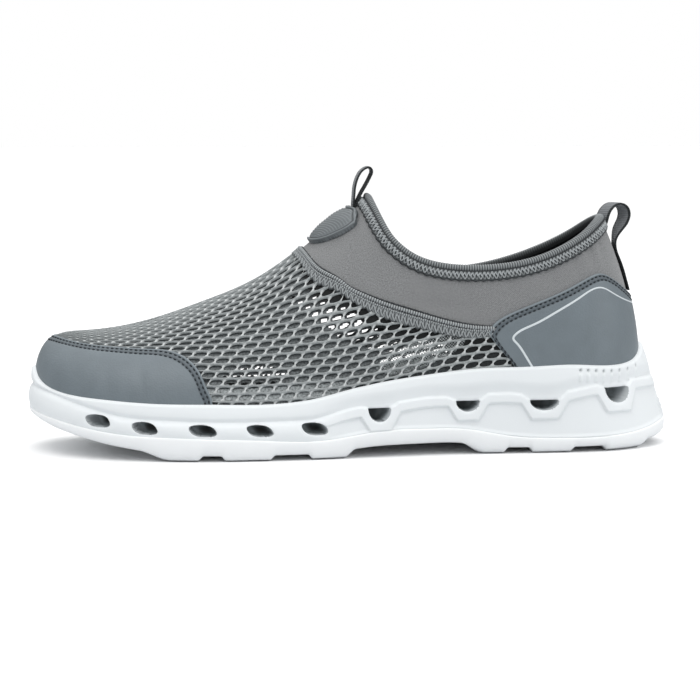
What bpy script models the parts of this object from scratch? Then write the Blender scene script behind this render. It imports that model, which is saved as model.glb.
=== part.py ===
"""A left slip-on walking shoe, one solid for each piece its maker would put together.

Lengths in the tables are millimetres, and MM turns them into Blender's metres.
The toe points along -X, the outer (lateral) side faces -Y and the floor is z = 0.
A place on the upper is given by its station, 0 at the heel's back to 15 at the toe tip,
its girth share, 0 at the foot edge to 1 at the rim or ridge, and its side.
"""

import math

import bmesh
import bpy
import numpy as np

MM = 0.001

# Driving sizes
WALL = 2.0                # upper's wall
GAP = 0.3                 # between pieces that touch
OVERLAY_GAP = 0.4         # under panels that lie on the upper's curves
BINDING_GAP = 0.45
TAPE_GAP = 0.6
OVERLAY = 1.1             # toe cap and heel counter
TAPE_THICK = 0.8
BINDING_THICK = 1.0
BINDING_DEPTH = 6.0       # how far the knitted edge reaches down from the rim
THROAT_ROOM = 0.8         # extra room under that edge at the throat, where the upper turns tightly
THROAT_REACH = 20.0       # how far round the collar the extra room fades
BADGE_THICK = 2.4
WEBBING_THICK = 1.0
FRONT_LOOP_WIDTH = 8.0
HEEL_LOOP_WIDTH = 9.0
INSOLE_THICK = 4.0
FOXING_THICK = 2.2        # sole's edge beside the upper
GROOVE_DEPTH = 0.9        # crease above the wave on the sole's side
RIM_TALL = 3.2            # raised rim under that crease
WINDOW_DEPTH = 10.0
LUG_RAMP = 1.6            # how far a lug's end slopes
LATERAL, MEDIAL = -1, 1
THROAT = 8                # station where the rim turns into the ridge
TOE = 15

# Foot edge of the last: station, x, lateral y, medial y, z, lean at the foot, foot handle
FOOT = np.array([
    (0, 132.8, 0.0, 0.0, 30.0, -3, 26),
    (1, 126.0, -17.5, 17.5, 30.0, -5, 24),
    (2, 110.0, -30.0, 29.5, 30.0, -6, 22),
    (3, 88.0, -34.0, 33.0, 29.5, -5, 20),
    (4, 62.0, -35.0, 34.0, 28.5, -3, 20),
    (5, 38.0, -36.5, 34.5, 26.5, 0, 20),
    (6, 18.0, -39.5, 35.5, 24.0, 3, 24),
    (7, 4.0, -42.0, 37.0, 22.5, 5, 34),
    (8, -10.0, -44.5, 39.0, 21.0, 6, 41),
    (9, -26.0, -46.8, 42.0, 20.0, 6, 37),
    (10, -46.0, -48.6, 46.0, 19.3, 5, 30),
    (11, -68.0, -48.6, 48.6, 19.3, 3, 26),
    (12, -92.0, -45.0, 47.0, 20.8, 0, 22),
    (13, -116.0, -35.5, 39.5, 23.5, -3, 17),
    (14, -135.0, -18.0, 26.5, 26.5, -4, 14),
    (15, -142.3, 5.0, 5.0, 28.0, -3, 13),
], float)
FOOT_X, FOOT_LATERAL, FOOT_MEDIAL, FOOT_Z, FOOT_LEAN, FOOT_HANDLE = range(1, 7)

# Collar rim: station, x, lateral y, medial y, lateral z, medial z, lean at the rim, rim handle,
# and sweep, the share by which the arches turn back along the ridge as they near the throat
RIM = np.array([
    (0, 116.0, 0.0, 0.0, 104.0, 104.0, 24, 24, 0),
    (1, 112.5, -10.5, 10.5, 102.6, 103.0, 22, 22, 0),
    (2, 103.0, -20.0, 20.0, 97.0, 97.6, 17, 20, 0),
    (3, 84.0, -26.5, 26.5, 89.0, 88.4, 13, 18, 0),
    (4, 60.0, -29.0, 29.0, 83.8, 81.0, 12, 18, 0),
    (5, 37.0, -28.2, 28.5, 84.2, 79.6, 16, 18, 0.03),
    (6, 21.5, -24.5, 26.0, 91.0, 86.5, 28, 18, 0.17),
    (6.5, 15.6, -20.5, 22.5, 97.2, 94.0, 38, 18, 0.27),
    (7, 11.6, -14.0, 17.5, 105.0, 103.5, 55, 20, 0.37),
    (8, 8.0, 3.0, 3.0, 114.0, 114.0, 90, 25, 0.46),
], float)
RIM_X, RIM_LATERAL, RIM_MEDIAL, RIM_LATERAL_Z, RIM_MEDIAL_Z, RIM_LEAN, RIM_HANDLE, RIM_SWEEP = range(1, 9)

# Ridge from the throat to the toe: station, x, y, z, ridge handle, sweep
RIDGE = np.array([
    (8, 8.0, 3.0, 114.0, 25, 0.46),
    (9, -14.0, 3.0, 96.5, 20, 0.20),
    (10, -40.0, 3.2, 77.5, 22, 0.04),
    (11, -66.0, 3.8, 65.8, 26, 0),
    (12, -90.0, 4.5, 57.2, 26, 0),
    (13, -109.0, 5.0, 53.3, 22, 0),
    (14, -121.0, 5.0, 52.5, 17, 0),
    (15, -126.0, 5.0, 52.3, 13, 0),
], float)
RIDGE_X, RIDGE_Y, RIDGE_Z, RIDGE_HANDLE, RIDGE_SWEEP = range(1, 6)

# Sole's top edge on the upper: station, girth share. It climbs at the heel's back and the toe.
FOXING = np.array([
    (0, 0.215), (0.5, 0.172), (1, 0.130), (1.5, 0.118), (2, 0.127), (2.7, 0.160), (3.4, 0.172),
    (4.2, 0.186), (5, 0.176), (6, 0.150), (7, 0.108), (8, 0.074), (9, 0.061), (10, 0.064),
    (11, 0.075), (12, 0.067), (13, 0.058), (14, 0.076), (14.6, 0.190), (15, 0.290),
], float)

# Heights on the sole's side: foot x, crease above the wave, join of midsole and outsole, tread base
SOLE_LINES = np.array([
    (-142.3, 30.0, 19.5, 16.5), (-133, 27.5, 17.3, 12.8), (-122, 24.0, 14.8, 9.8),
    (-111, 20.9, 12.8, 7.2), (-99, 18.9, 11.5, 5.2), (-86, 18.2, 10.8, 3.4), (-70, 17.5, 10.3, 2.7),
    (-50, 17.3, 9.6, 2.6), (-30, 17.6, 8.6, 2.6), (-20, 18.3, 8.5, 2.7), (-10, 21.0, 9.4, 3.4),
    (0, 23.0, 11.0, 4.6), (14, 24.3, 12.3, 5.4), (30, 26.2, 12.3, 5.6), (48, 26.4, 11.6, 5.0),
    (58, 27.2, 9.8, 3.4), (70, 27.2, 8.0, 2.8), (86, 26.2, 7.0, 2.6), (95, 28.0, 6.9, 2.6),
    (105, 30.0, 7.0, 2.6), (115, 31.0, 7.6, 2.7), (125, 31.6, 9.5, 3.0), (132.8, 31.2, 12.5, 3.6),
], float)
CREASE, JOIN, TREAD = 1, 2, 3

# How far the sole's side stands out from the foot edge at the join: station, offset, tread edge inset
FLARE = np.array([
    (0, 13.2, 5.0), (1, 11.4, 4.0), (2, 8.2, 2.8), (3, 6.3, 2.0), (4, 5.5, 1.8), (6, 5.4, 1.8),
    (8, 5.5, 1.8), (11, 5.5, 1.8), (13, 5.2, 2.4), (14, 4.8, 3.2), (15, 3.7, 5.0),
], float)

# Openings in the sole's side: x, z, length, height, slant, whether the wave dips under it
WINDOWS = [
    (-115.7, 17.5, 11.5, 6.0, 1.6, False), (-95.3, 14.9, 10.8, 5.5, 1.6, False),
    (-70.3, 13.6, 11.5, 5.2, 1.6, False), (-45.3, 13.2, 11.0, 5.2, 1.6, False),
    (-21.5, 13.9, 11.0, 5.6, 1.6, False), (7.7, 18.9, 10.6, 6.0, 0.0, True),
    (47.9, 22.2, 12.0, 5.4, 0.0, True), (83.2, 22.1, 13.6, 5.2, 0.0, True),
    (117.0, 25.1, 10.6, 6.8, 0.0, True),
]
WAVE_RUN = 7.0            # length of each flank of the wave

# Lugs of the tread: first x, last x. Their undersides lie on the floor.
LUGS = [(-89, -72), (-60, -41), (-22, -8), (50, 63), (79, 95), (111, 124)]
# Shares of the sole's width where a lug starts, stops at the middle channel, and so on
TREAD_SHARES = [0.0, 0.035, 0.40, 0.43, 0.57, 0.60, 0.965, 1.0]
TREAD_BLOCK = [0.7, 1.0, 1.0, 0.0, 0.0, 1.0, 1.0, 0.7]

# Toe cap's edge and heel counter's edges: station, girth share
TOE_CAP_TOP = np.array([
    (10.92, 0.110), (10.98, 0.150), (11.10, 0.244), (11.23, 0.319), (11.40, 0.381), (11.62, 0.431),
    (12.05, 0.475), (12.50, 0.519), (13.10, 0.585), (13.68, 0.660), (14.30, 0.730), (15.0, 0.775),
], float)
COUNTER_TOP = np.array([
    (0, 0.506), (0.5, 0.530), (0.83, 0.575), (1.5, 0.700), (1.73, 0.724), (2.08, 0.719), (2.6, 0.694),
    (3.2, 0.650), (3.73, 0.588), (3.95, 0.540), (4.05, 0.480),
], float)
COUNTER_FRONT = np.array([(3.72, 0.0), (3.78, 0.20), (3.95, 0.344), (4.05, 0.440)], float)

# Seam between mesh and collar: row, upper station and girth share, lower station and girth share
SEAM = np.array([
    (0, 4.16, 0.505, 4.18, 0.430), (1, 4.42, 0.519, 4.45, 0.420), (2, 5.05, 0.569, 5.05, 0.463),
    (3, 5.90, 0.600, 5.85, 0.494), (4, 7.00, 0.544, 7.05, 0.472), (5, 7.83, 0.513, 7.80, 0.463),
    (6, 8.60, 0.613, 8.68, 0.562), (7, 9.10, 0.781, 9.18, 0.725), (8, 9.36, 1.0, 9.53, 1.0),
], float)

# Badge on the ridge: station on the ridge, then station and girth share of its edge
BADGE = np.array([
    (8.62, 8.24, 0.840), (8.70, 8.24, 0.795), (8.80, 8.48, 0.781), (8.92, 8.72, 0.808), (9.04, 8.92, 0.848),
    (9.14, 9.09, 0.908), (9.19, 9.17, 0.962),
], float)

# Pull loops, webbing seen edge-on: x and z from each loop's foot on the upper
FRONT_LOOP = [(0.0, 0.0), (-0.3, 3.0), (0.4, 6.4), (1.9, 10.6), (4.0, 15.0), (6.4, 17.2), (8.6, 16.4),
              (9.8, 13.6), (9.3, 10.4), (6.4, 7.0), (1.8, 3.6)]
FRONT_LOOP_X = 0.0
RIDGE_SLOPE = 0.8
HEEL_LOOP_INSIDE = [(110.8, 97.5), (110.6, 103.5), (112.6, 107.8), (117.6, 110.0), (123.6, 109.8),
                    (127.6, 106.8), (128.6, 102.0), (127.2, 96.6)]
HEEL_STRIP_GIRTH = [0.80, 0.70, 0.60, 0.53]


def spline(rows, column, at, level_start=False, level_end=False):
    """Cubic curve through one column of a table, whose first column is the place along it.

    An end is free, as natural cubics are, or level where the shoe's two sides meet in one round curve.
    """
    x, y = rows[:, 0], rows[:, column]
    step = np.diff(x)
    matrix = np.eye(len(x))
    turn = np.zeros(len(x))
    for i in range(1, len(x) - 1):
        matrix[i, i - 1:i + 2] = step[i - 1], 2 * (step[i - 1] + step[i]), step[i]
        turn[i] = 6 * ((y[i + 1] - y[i]) / step[i] - (y[i] - y[i - 1]) / step[i - 1])
    if level_start:
        matrix[0, :2] = 2 * step[0], step[0]
        turn[0] = 6 * (y[1] - y[0]) / step[0]
    if level_end:
        matrix[-1, -2:] = step[-1], 2 * step[-1]
        turn[-1] = -6 * (y[-1] - y[-2]) / step[-1]
    bend = np.linalg.solve(matrix, turn)
    at = np.clip(np.asarray(at, float), x[0], x[-1])
    i = np.clip(np.searchsorted(x, at, side="right") - 1, 0, len(x) - 2)
    after, before, h = at - x[i], x[i + 1] - at, step[i]
    return ((bend[i] * before**3 + bend[i + 1] * after**3) / (6 * h)
            + (y[i] / h - bend[i] * h / 6) * before + (y[i + 1] / h - bend[i + 1] * h / 6) * after)


def round_spline(rows, column, at):
    """A spline that is level at both ends."""
    return spline(rows, column, at, True, True)


def foot(station, side):
    """Foot edge of the last, where its wall meets the sole."""
    y = FOOT_LATERAL if side == LATERAL else FOOT_MEDIAL
    return np.stack([round_spline(FOOT, FOOT_X, station), spline(FOOT, y, station),
                     round_spline(FOOT, FOOT_Z, station)], -1)


def outward(station, side):
    """Level direction square to the foot edge, away from the foot."""
    station = np.asarray(station, float)
    nearby = 0.02
    along = foot(np.minimum(station + nearby, TOE), side) - foot(np.maximum(station - nearby, 0), side)
    out = np.stack([along[..., 1], -along[..., 0], 0 * station], -1) * side
    out = np.where((station <= 0)[..., None], [1.0, 0.0, 0.0], out)
    out = np.where((station >= TOE)[..., None], [-1.0, 0.0, 0.0], out)
    return out / np.linalg.norm(out, axis=-1, keepdims=True)


def paused(station):
    """Station warped so that the top line rests for a moment at the throat and turns there smoothly."""
    station = np.asarray(station, float)
    away = np.abs(station - THROAT)
    eased = THROAT + np.sign(station - THROAT) * (2 * away**2 - away**3)
    return np.where(away < 1, eased, station)


def top_line(station, side):
    """Collar rim behind the throat, and the ridge of the vamp in front of it."""
    station = paused(station)
    y, z = (RIM_LATERAL, RIM_LATERAL_Z) if side == LATERAL else (RIM_MEDIAL, RIM_MEDIAL_Z)
    rim = np.stack([round_spline(RIM, RIM_X, station), spline(RIM, y, station),
                    round_spline(RIM, z, station)], -1)
    ridge = np.stack([spline(RIDGE, column, station) for column in (RIDGE_X, RIDGE_Y, RIDGE_Z)], -1)
    return np.where((station < THROAT)[..., None], rim, ridge)


def ridge_back(station):
    """Direction along the ridge, up and back toward the throat."""
    near = 0.02
    station = np.clip(station, THROAT + near, TOE - near)
    back = np.stack([spline(RIDGE, c, station - near) - spline(RIDGE, c, station + near)
                     for c in (RIDGE_X, RIDGE_Y, RIDGE_Z)], -1)
    return back / np.linalg.norm(back, axis=-1, keepdims=True)


def section(station, side, samples=49):
    """One arch for each station, a cubic from the foot edge up to the top line."""
    start, end = foot(station, side), top_line(station, side)
    inward = -outward(station, side)
    up = np.array([0.0, 0.0, 1.0])
    start_lean = np.radians(round_spline(FOOT, FOOT_LEAN, station))[..., None]
    start_handle = round_spline(FOOT, FOOT_HANDLE, station)[..., None]
    leave = start + start_handle * (np.cos(start_lean) * up + np.sin(start_lean) * inward)
    warped = paused(station)
    behind = warped < THROAT
    end_lean = np.radians(np.where(behind, spline(RIM, RIM_LEAN, warped, True), 90.0))[..., None]
    rim_handle, ridge_handle = spline(RIM, RIM_HANDLE, warped, True), spline(RIDGE, RIDGE_HANDLE, warped)
    end_handle = np.where(behind, rim_handle, ridge_handle)[..., None]
    sweep = np.where(behind, spline(RIM, RIM_SWEEP, warped), spline(RIDGE, RIDGE_SWEEP, warped))[..., None]
    heading = (1 - sweep) * (np.cos(end_lean) * up + np.sin(end_lean) * inward) + sweep * ridge_back(warped)
    arrive = end - end_handle * heading / np.linalg.norm(heading, axis=-1, keepdims=True)
    t = np.linspace(0, 1, samples)[:, None]
    start, leave, arrive, end = (p[..., None, :] for p in (start, leave, arrive, end))
    return (1 - t)**3 * start + 3 * (1 - t)**2 * t * leave + 3 * (1 - t) * t**2 * arrive + t**3 * end


def girth_length(station, side):
    """Length of each station's arch."""
    return np.linalg.norm(np.diff(section(np.asarray(station, float), side), axis=-2), axis=-1).sum(-1)


def last(station, girth, side):
    """Upper's outer surface at a station and a share of that station's arch."""
    station, girth = np.broadcast_arrays(np.asarray(station, float), np.asarray(girth, float))
    shape = station.shape
    arch = section(station.ravel(), side)
    length = np.linalg.norm(np.diff(arch, axis=1), axis=-1)
    run = np.concatenate([np.zeros((len(arch), 1)), np.cumsum(length, 1)], 1)
    want = girth.ravel() * run[:, -1]
    row = np.arange(len(arch))
    i = np.clip((run < want[:, None]).sum(1) - 1, 0, length.shape[1] - 1)
    share = ((want - run[row, i]) / length[row, i])[:, None]
    return (arch[row, i] * (1 - share) + arch[row, i + 1] * share).reshape(shape + (3,))


def skin_normal(station, girth, side):
    """Direction straight out of the upper's outer surface."""
    station, girth = np.broadcast_arrays(np.asarray(station, float), np.asarray(girth, float))
    # Arches crowd together at the throat, so there the slope is taken over a wider stretch
    near = 0.02 + 0.4 * np.exp(-((station - THROAT) / 0.5)**2) * girth**6
    close = 0.01
    ahead, behind = np.minimum(station + near, TOE), np.maximum(station - near, 0)
    above, below = np.minimum(girth + close, 1), np.maximum(girth - close, 0)
    along = last(ahead, girth, side) - last(behind, girth, side)
    upward = last(station, above, side) - last(station, below, side)
    out = np.cross(upward, along) * -side
    # Heel back, toe tip and ridge lie on the middle, where both sides share one direction
    out[..., 1] = np.where((station <= 0) | (station >= TOE), 0, out[..., 1])
    back = ridge_back(paused(station))
    square = np.stack([-back[..., 2], 0 * station, back[..., 0]], -1)
    out = np.where(((girth >= 1) & (station >= THROAT))[..., None], square, out)
    return out / np.linalg.norm(out, axis=-1, keepdims=True)


def lifted(station, girth, side, height):
    """Upper's outer surface raised by a height."""
    return last(station, girth, side) + skin_normal(station, girth, side) * np.asarray(height)[..., None]


def station_at(x):
    """Station whose foot edge lies at an x."""
    station = np.linspace(0, TOE, 1501)
    return np.interp(-np.asarray(x, float), -round_spline(FOOT, FOOT_X, station), station)


def ring(lateral, medial):
    """Lateral columns from heel to toe, then medial columns back to the heel, each end kept once."""
    return np.concatenate([lateral, medial[-2:0:-1]])


def material(name, color, roughness):
    made = bpy.data.materials.new(name)
    made.use_nodes = True
    shader = made.node_tree.nodes["Principled BSDF"]
    shader.inputs["Base Color"].default_value = (*color, 1.0)
    shader.inputs["Roughness"].default_value = roughness
    made.diffuse_color = (*color, 1.0)
    return made


def add_piece(name, bm, look):
    """Finish a mesh as one named object with one material, shaded smooth."""
    bmesh.ops.remove_doubles(bm, verts=bm.verts, dist=0.01 * MM)
    mesh = bpy.data.meshes.new(name)
    bm.to_mesh(mesh)
    bm.free()
    mesh.materials.append(look)
    mesh.polygons.foreach_set("use_smooth", [True] * len(mesh.polygons))
    piece = bpy.data.objects.new(name, mesh)
    bpy.context.collection.objects.link(piece)
    return piece


def add_grid(bm, grid, closed=False, flip=False):
    """Quads over a grid of points, row by row. A closed grid joins its last column to its first."""
    rows, columns = grid.shape[:2]
    verts = [[bm.verts.new(p * MM) for p in row] for row in grid]
    for j in range(rows - 1):
        for i in range(columns if closed else columns - 1):
            n = (i + 1) % columns
            quad = [verts[j][i], verts[j][n], verts[j + 1][n], verts[j + 1][i]]
            bm.faces.new(quad[::-1] if flip else quad)
    return verts


def add_ladder(bm, lateral, medial, flip=False):
    """Rungs from each lateral point to the medial point across from it. Both ends close to a point."""
    for i in range(len(lateral) - 1):
        corners = [lateral[i], lateral[i + 1], medial[i + 1], medial[i]]
        kept = [v for n, v in enumerate(corners) if v not in corners[:n]]
        bm.faces.new(kept[::-1] if flip else kept)


def across(row, count):
    """A ring's vertices as a lateral list and a medial list, both from heel to toe."""
    return row[:count], [row[0]] + row[:count - 2:-1]


def thicken(piece, thickness):
    """Give a skin its thickness with a solidify modifier."""
    wall = piece.modifiers.new("wall", "SOLIDIFY")
    wall.thickness = thickness * MM
    wall.offset = 1.0
    wall.use_even_offset = True
    wall.use_quality_normals = True


def shoe_columns():
    """Stations of the columns, close together round the heel and the toe."""
    return np.concatenate([np.linspace(0, 2, 9)[:-1], np.linspace(2, THROAT, 15),
                           np.linspace(THROAT, 13, 13)[1:-1], np.linspace(13, TOE, 12)])


def girth_rows(stations, side):
    """Girth shares of the upper's rows: even up the wall, then close together along the top line."""
    length = girth_length(stations, side)
    wall = np.linspace(0, 1, 7)[:, None] * (1 - 2 * BINDING_DEPTH / length)
    edge = [1 - BINDING_DEPTH / length, 1 - 0.5 * BINDING_DEPTH / length, np.ones(len(stations))]
    return np.vstack([wall, *edge])


def make_upper(look):
    """Hollow upper: the last's surface, a second one a wall's thickness inside, and the edges between."""
    stations = shoe_columns()
    at_collar = stations <= THROAT
    bm = bmesh.new()
    for side in (LATERAL, MEDIAL):
        girth = girth_rows(stations, side)
        station = np.broadcast_to(stations, girth.shape)
        outer = last(station, girth, side)
        inner = lifted(station, girth, side, np.full(girth.shape, -WALL))
        lateral = side == LATERAL
        add_grid(bm, outer, flip=lateral)
        add_grid(bm, inner, flip=not lateral)
        add_grid(bm, np.stack([inner[0], outer[0]]), flip=lateral)
        add_grid(bm, np.stack([outer[-1, at_collar], inner[-1, at_collar]]), flip=lateral)
    return add_piece("upper", bm, look)


def make_overlay(name, look, stations, low, high, thickness, strips=4):
    """A panel on the upper between two edges, the same on both sides and joined at the middle."""
    bm = bmesh.new()
    share = np.linspace(0, 1, strips + 1)[:, None]
    for side in (LATERAL, MEDIAL):
        station = np.broadcast_to(stations, (strips + 1, len(stations)))
        girth = low * (1 - share) + high * share
        add_grid(bm, lifted(station, girth, side, np.full(girth.shape, OVERLAY_GAP)), flip=side == LATERAL)
    piece = add_piece(name, bm, look)
    thicken(piece, thickness)
    return piece


def foxing_clear(stations):
    """Girth share just above the sole's top edge."""
    clear = 0.6
    return round_spline(FOXING, 1, stations) + clear / girth_length(stations, LATERAL)


def make_toe_cap(look):
    start = TOE_CAP_TOP[0, 0]
    stations = np.concatenate([np.linspace(start, 11.7, 5, endpoint=False), np.linspace(11.7, TOE, 13)])
    high = np.interp(stations, TOE_CAP_TOP[:, 0], TOE_CAP_TOP[:, 1])
    return make_overlay("toe_cap", look, stations, foxing_clear(stations), high, OVERLAY, strips=5)


def make_heel_counter(look):
    stations = np.concatenate([np.linspace(0, 3.6, 12), [3.72, 3.78, 3.95, 4.05]])
    front = np.interp(stations, COUNTER_FRONT[:, 0], COUNTER_FRONT[:, 1])
    low = np.maximum(foxing_clear(stations), front)
    high = np.interp(stations, COUNTER_TOP[:, 0], COUNTER_TOP[:, 1])
    return make_overlay("heel_counter", look, stations, low, high, OVERLAY)


def settle(points):
    """Nearest places on the last's upper part to some points, and the directions straight out there."""
    spots, directions = [], []
    station, girth = np.meshgrid(np.linspace(0, THROAT + 2, 401), np.linspace(0.78, 1.0, 56))
    for side in (LATERAL, MEDIAL):
        spots.append(last(station, girth, side).reshape(-1, 3))
        directions.append(skin_normal(station, girth, side).reshape(-1, 3))
    spots, directions = np.concatenate(spots), np.concatenate(directions)
    nearest = np.array([((spots - p)**2).sum(1).argmin() for p in points])
    spot, out = spots[nearest], directions[nearest]
    return points - out * ((points - spot) * out).sum(-1, keepdims=True), out


def make_collar_binding(look):
    """Knitted edge round the collar: a leg outside the upper and a fold over the rim."""
    stations = shoe_columns()
    # Extra columns keep its facets outside the upper where the rim turns tightest
    tight = THROAT - np.array([0.65, 0.54, 0.3, 0.2])
    stations = np.sort(np.concatenate([stations[stations <= THROAT], tight]))
    rim = ring(last(stations, 1, LATERAL), last(stations, 1, MEDIAL))
    out = ring(skin_normal(stations, 0.985, LATERAL), skin_normal(stations, 0.985, MEDIAL))
    along = np.roll(rim, -1, 0) - np.roll(rim, 1, 0)
    down = np.cross(out, along)
    down *= -np.sign(down[:, 2:]) / np.linalg.norm(down, axis=-1, keepdims=True)
    deep, deep_out = settle(rim + down * BINDING_DEPTH)
    half, half_out = settle(rim + down * BINDING_DEPTH / 2)
    from_throat = np.linalg.norm(rim - rim[len(stations) - 1], axis=-1, keepdims=True)
    gap = BINDING_GAP + THROAT_ROOM * np.exp(-(from_throat / THROAT_REACH)**2)
    fold, inside = rim + (out - down) * gap, rim - out * WALL - down * gap
    rows = np.stack([deep + deep_out * gap, half + half_out * gap, fold, inside])
    bm = bmesh.new()
    add_grid(bm, rows, closed=True, flip=True)
    piece = add_piece("collar_binding", bm, look)
    thicken(piece, BINDING_THICK)
    return piece


def make_seam_tape(look):
    """Tape over the seam from one counter's tip, across the ridge, to the other."""
    rows = np.concatenate([np.linspace(0, 6, 11), np.linspace(6, 8, 8)[1:]])
    bm = bmesh.new()
    share = np.array([0, 0.5, 1.0])[:, None]
    for side in (LATERAL, MEDIAL):
        station = spline(SEAM, 3, rows) * (1 - share) + spline(SEAM, 1, rows) * share
        girth = np.minimum(spline(SEAM, 4, rows) * (1 - share) + spline(SEAM, 2, rows) * share, 1)
        add_grid(bm, lifted(station, girth, side, np.full(girth.shape, TAPE_GAP)), flip=side == LATERAL)
    piece = add_piece("seam_tape", bm, look)
    thicken(piece, TAPE_THICK)
    return piece


def make_instep_badge(look):
    """Rubber shield lying across the ridge in front of the rim."""
    bm = bmesh.new()
    share = np.linspace(1, 0, 4)[:, None]
    for side in (LATERAL, MEDIAL):
        station = BADGE[:, 0] * (1 - share) + BADGE[:, 1] * share
        girth = 1 - (1 - BADGE[:, 2]) * share
        add_grid(bm, lifted(station, girth, side, np.full(girth.shape, OVERLAY_GAP)), flip=side == LATERAL)
    piece = add_piece("instep_badge", bm, look)
    thicken(piece, BADGE_THICK)
    return piece


def make_webbing(name, look, path, width, middle, closed):
    """Flat webbing that follows a path in the XZ plane, half its thickness to each side."""
    path = np.array(path, float)
    lines = [np.column_stack([path[:, 0], np.full(len(path), middle + half * width), path[:, 1]])
             for half in (-0.5, 0, 0.5)]
    bm = bmesh.new()
    add_grid(bm, np.stack(lines), closed=closed)
    piece = add_piece(name, bm, look)
    thicken(piece, WEBBING_THICK)
    piece.modifiers["wall"].offset = 0.0
    return piece


def make_front_loop(look):
    ridge = np.linspace(THROAT, THROAT + 1, 400)
    line = top_line(ridge, LATERAL)
    height = np.interp(-FRONT_LOOP_X, -line[:, 0], line[:, 2])
    # The ridge slopes here, so clearance square to it stands taller straight up
    base = height + (3 * GAP + WEBBING_THICK / 2) * math.hypot(1, RIDGE_SLOPE)
    path = [(FRONT_LOOP_X + x, base + z) for x, z in FRONT_LOOP]
    return make_webbing("front_pull_loop", look, path, FRONT_LOOP_WIDTH, RIDGE[0, RIDGE_Y], True)


def make_heel_loop(look):
    """Loop from inside the collar over the rim, then a strip down the heel's back."""
    girth = np.array(HEEL_STRIP_GIRTH)
    strip = lifted(np.zeros(len(girth)), girth, LATERAL, np.full(len(girth), GAP + WEBBING_THICK / 2))
    path = HEEL_LOOP_INSIDE + [(p[0], p[2]) for p in strip]
    return make_webbing("heel_pull_loop", look, path, HEEL_LOOP_WIDTH, 0.0, False)


def wave_dip(x, crease):
    """How far the raised rim sinks below the crease to pass under the rear openings."""
    dip = np.zeros_like(x)
    for at, z, length, height, slant, dips in WINDOWS:
        if dips:
            flank = np.clip((np.abs(x - at) - length / 2 - 0.5) / WAVE_RUN, 0, 1)
            ease = 1 - flank * flank * (3 - 2 * flank)
            dip = np.maximum(dip, ease * (crease - z + height / 2 + 0.8))
    return dip


def sole_side(stations, side):
    """Rows of the midsole's outer side from its top edge down to the join with the outsole."""
    base, out = foot(stations, side), outward(stations, side)
    x = base[:, 0]
    crease, join = spline(SOLE_LINES, CREASE, x), spline(SOLE_LINES, JOIN, x)
    flare = round_spline(FLARE, 1, stations)
    edge = last(stations, round_spline(FOXING, 1, stations), side)
    inner = ((edge - base) * out).sum(-1) + GAP
    top = edge[:, 2]
    lip = inner + FOXING_THICK
    # The relief is strong along the rear half and fades to a soft crease in front
    rear = np.clip((x + 22) / 18, 0, 1)
    depth = 0.4 + (GROOVE_DEPTH - 0.4) * rear
    relief = 0.25 + 0.75 * rear
    rim_top = crease - 0.5 - wave_dip(x, crease)
    rim_low = np.maximum(rim_top - RIM_TALL, join + 2.0)
    panel_top = np.maximum(rim_low - 0.7, join + 1.5)
    panel_low = np.minimum(panel_top - 0.4, join + 1.2)

    def stand(z):
        """Offset of the plain flared side at a height."""
        return lip + 0.6 + (flare - lip - 0.6) * np.clip((top - z) / (top - join), 0, 1)

    rows = [
        (top, inner),
        (top - 0.2, lip - 0.5),
        (top - 1.4, lip + 0.4),
        (crease + 0.5, stand(crease)),
        (crease, stand(crease) - depth),
        (rim_top, stand(rim_top) + 0.5 * relief),
        (rim_low, stand(rim_low) + 0.6 * relief),
        (panel_top, stand(panel_top) - 0.6 * relief),
        (panel_low, stand(panel_low) - 0.6 * relief),
        (join, flare),
    ]
    return [np.column_stack([base[:, :2] + out[:, :2] * off[:, None], z]) for z, off in rows]


def make_window_cutters():
    """Tapered blocks with rounded ends, one for each opening on each side of the sole."""
    bm = bmesh.new()
    corner = 0.28
    for side in (LATERAL, MEDIAL):
        for at, z, length, height, slant, dips in WINDOWS:
            station = station_at(at)
            out, base = outward(station, side), foot(station, side)
            along = np.array([-out[1], out[0], 0.0])
            along *= np.sign(along[0])
            flat = [(-0.5, 0.5 - corner), (-0.5 + corner, 0.5), (0.5 - corner, 0.5), (0.5, 0.5 - corner),
                    (0.5, -0.5 + corner), (0.5 - corner, -0.5), (-0.5 + corner, -0.5), (-0.5, -0.5 + corner)]
            if dips:
                flat = [(-0.5, 0.5), (0.5, 0.5), (0.48, 0.1), (0.30, -0.35), (0.14, -0.5), (-0.14, -0.5),
                        (-0.30, -0.35), (-0.48, 0.1)]
            flare = float(round_spline(FLARE, 1, station))
            rings = []
            for reach, size in ((flare + 4.0, 1.06), (flare - 2.0, 1.0), (flare - WINDOW_DEPTH, 0.72)):
                ring_points = []
                for u, v in flat:
                    lean = -slant * v * 2
                    place = base + out * reach + along * (u * length * size + lean)
                    place[2] = z + v * height * size
                    ring_points.append(bm.verts.new(place * MM))
                rings.append(ring_points)
            count = len(flat)
            for a, b in zip(rings, rings[1:]):
                for i in range(count):
                    bm.faces.new([a[i], a[(i + 1) % count], b[(i + 1) % count], b[i]])
            bm.faces.new(rings[0])
            bm.faces.new(rings[-1])
    bmesh.ops.recalc_face_normals(bm, faces=bm.faces)
    mesh = bpy.data.meshes.new("window_cutters")
    bm.to_mesh(mesh)
    bm.free()
    cutters = bpy.data.objects.new("window_cutters", mesh)
    bpy.context.collection.objects.link(cutters)
    cutters.hide_render = True
    cutters.display_type = "WIRE"
    return cutters


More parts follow.
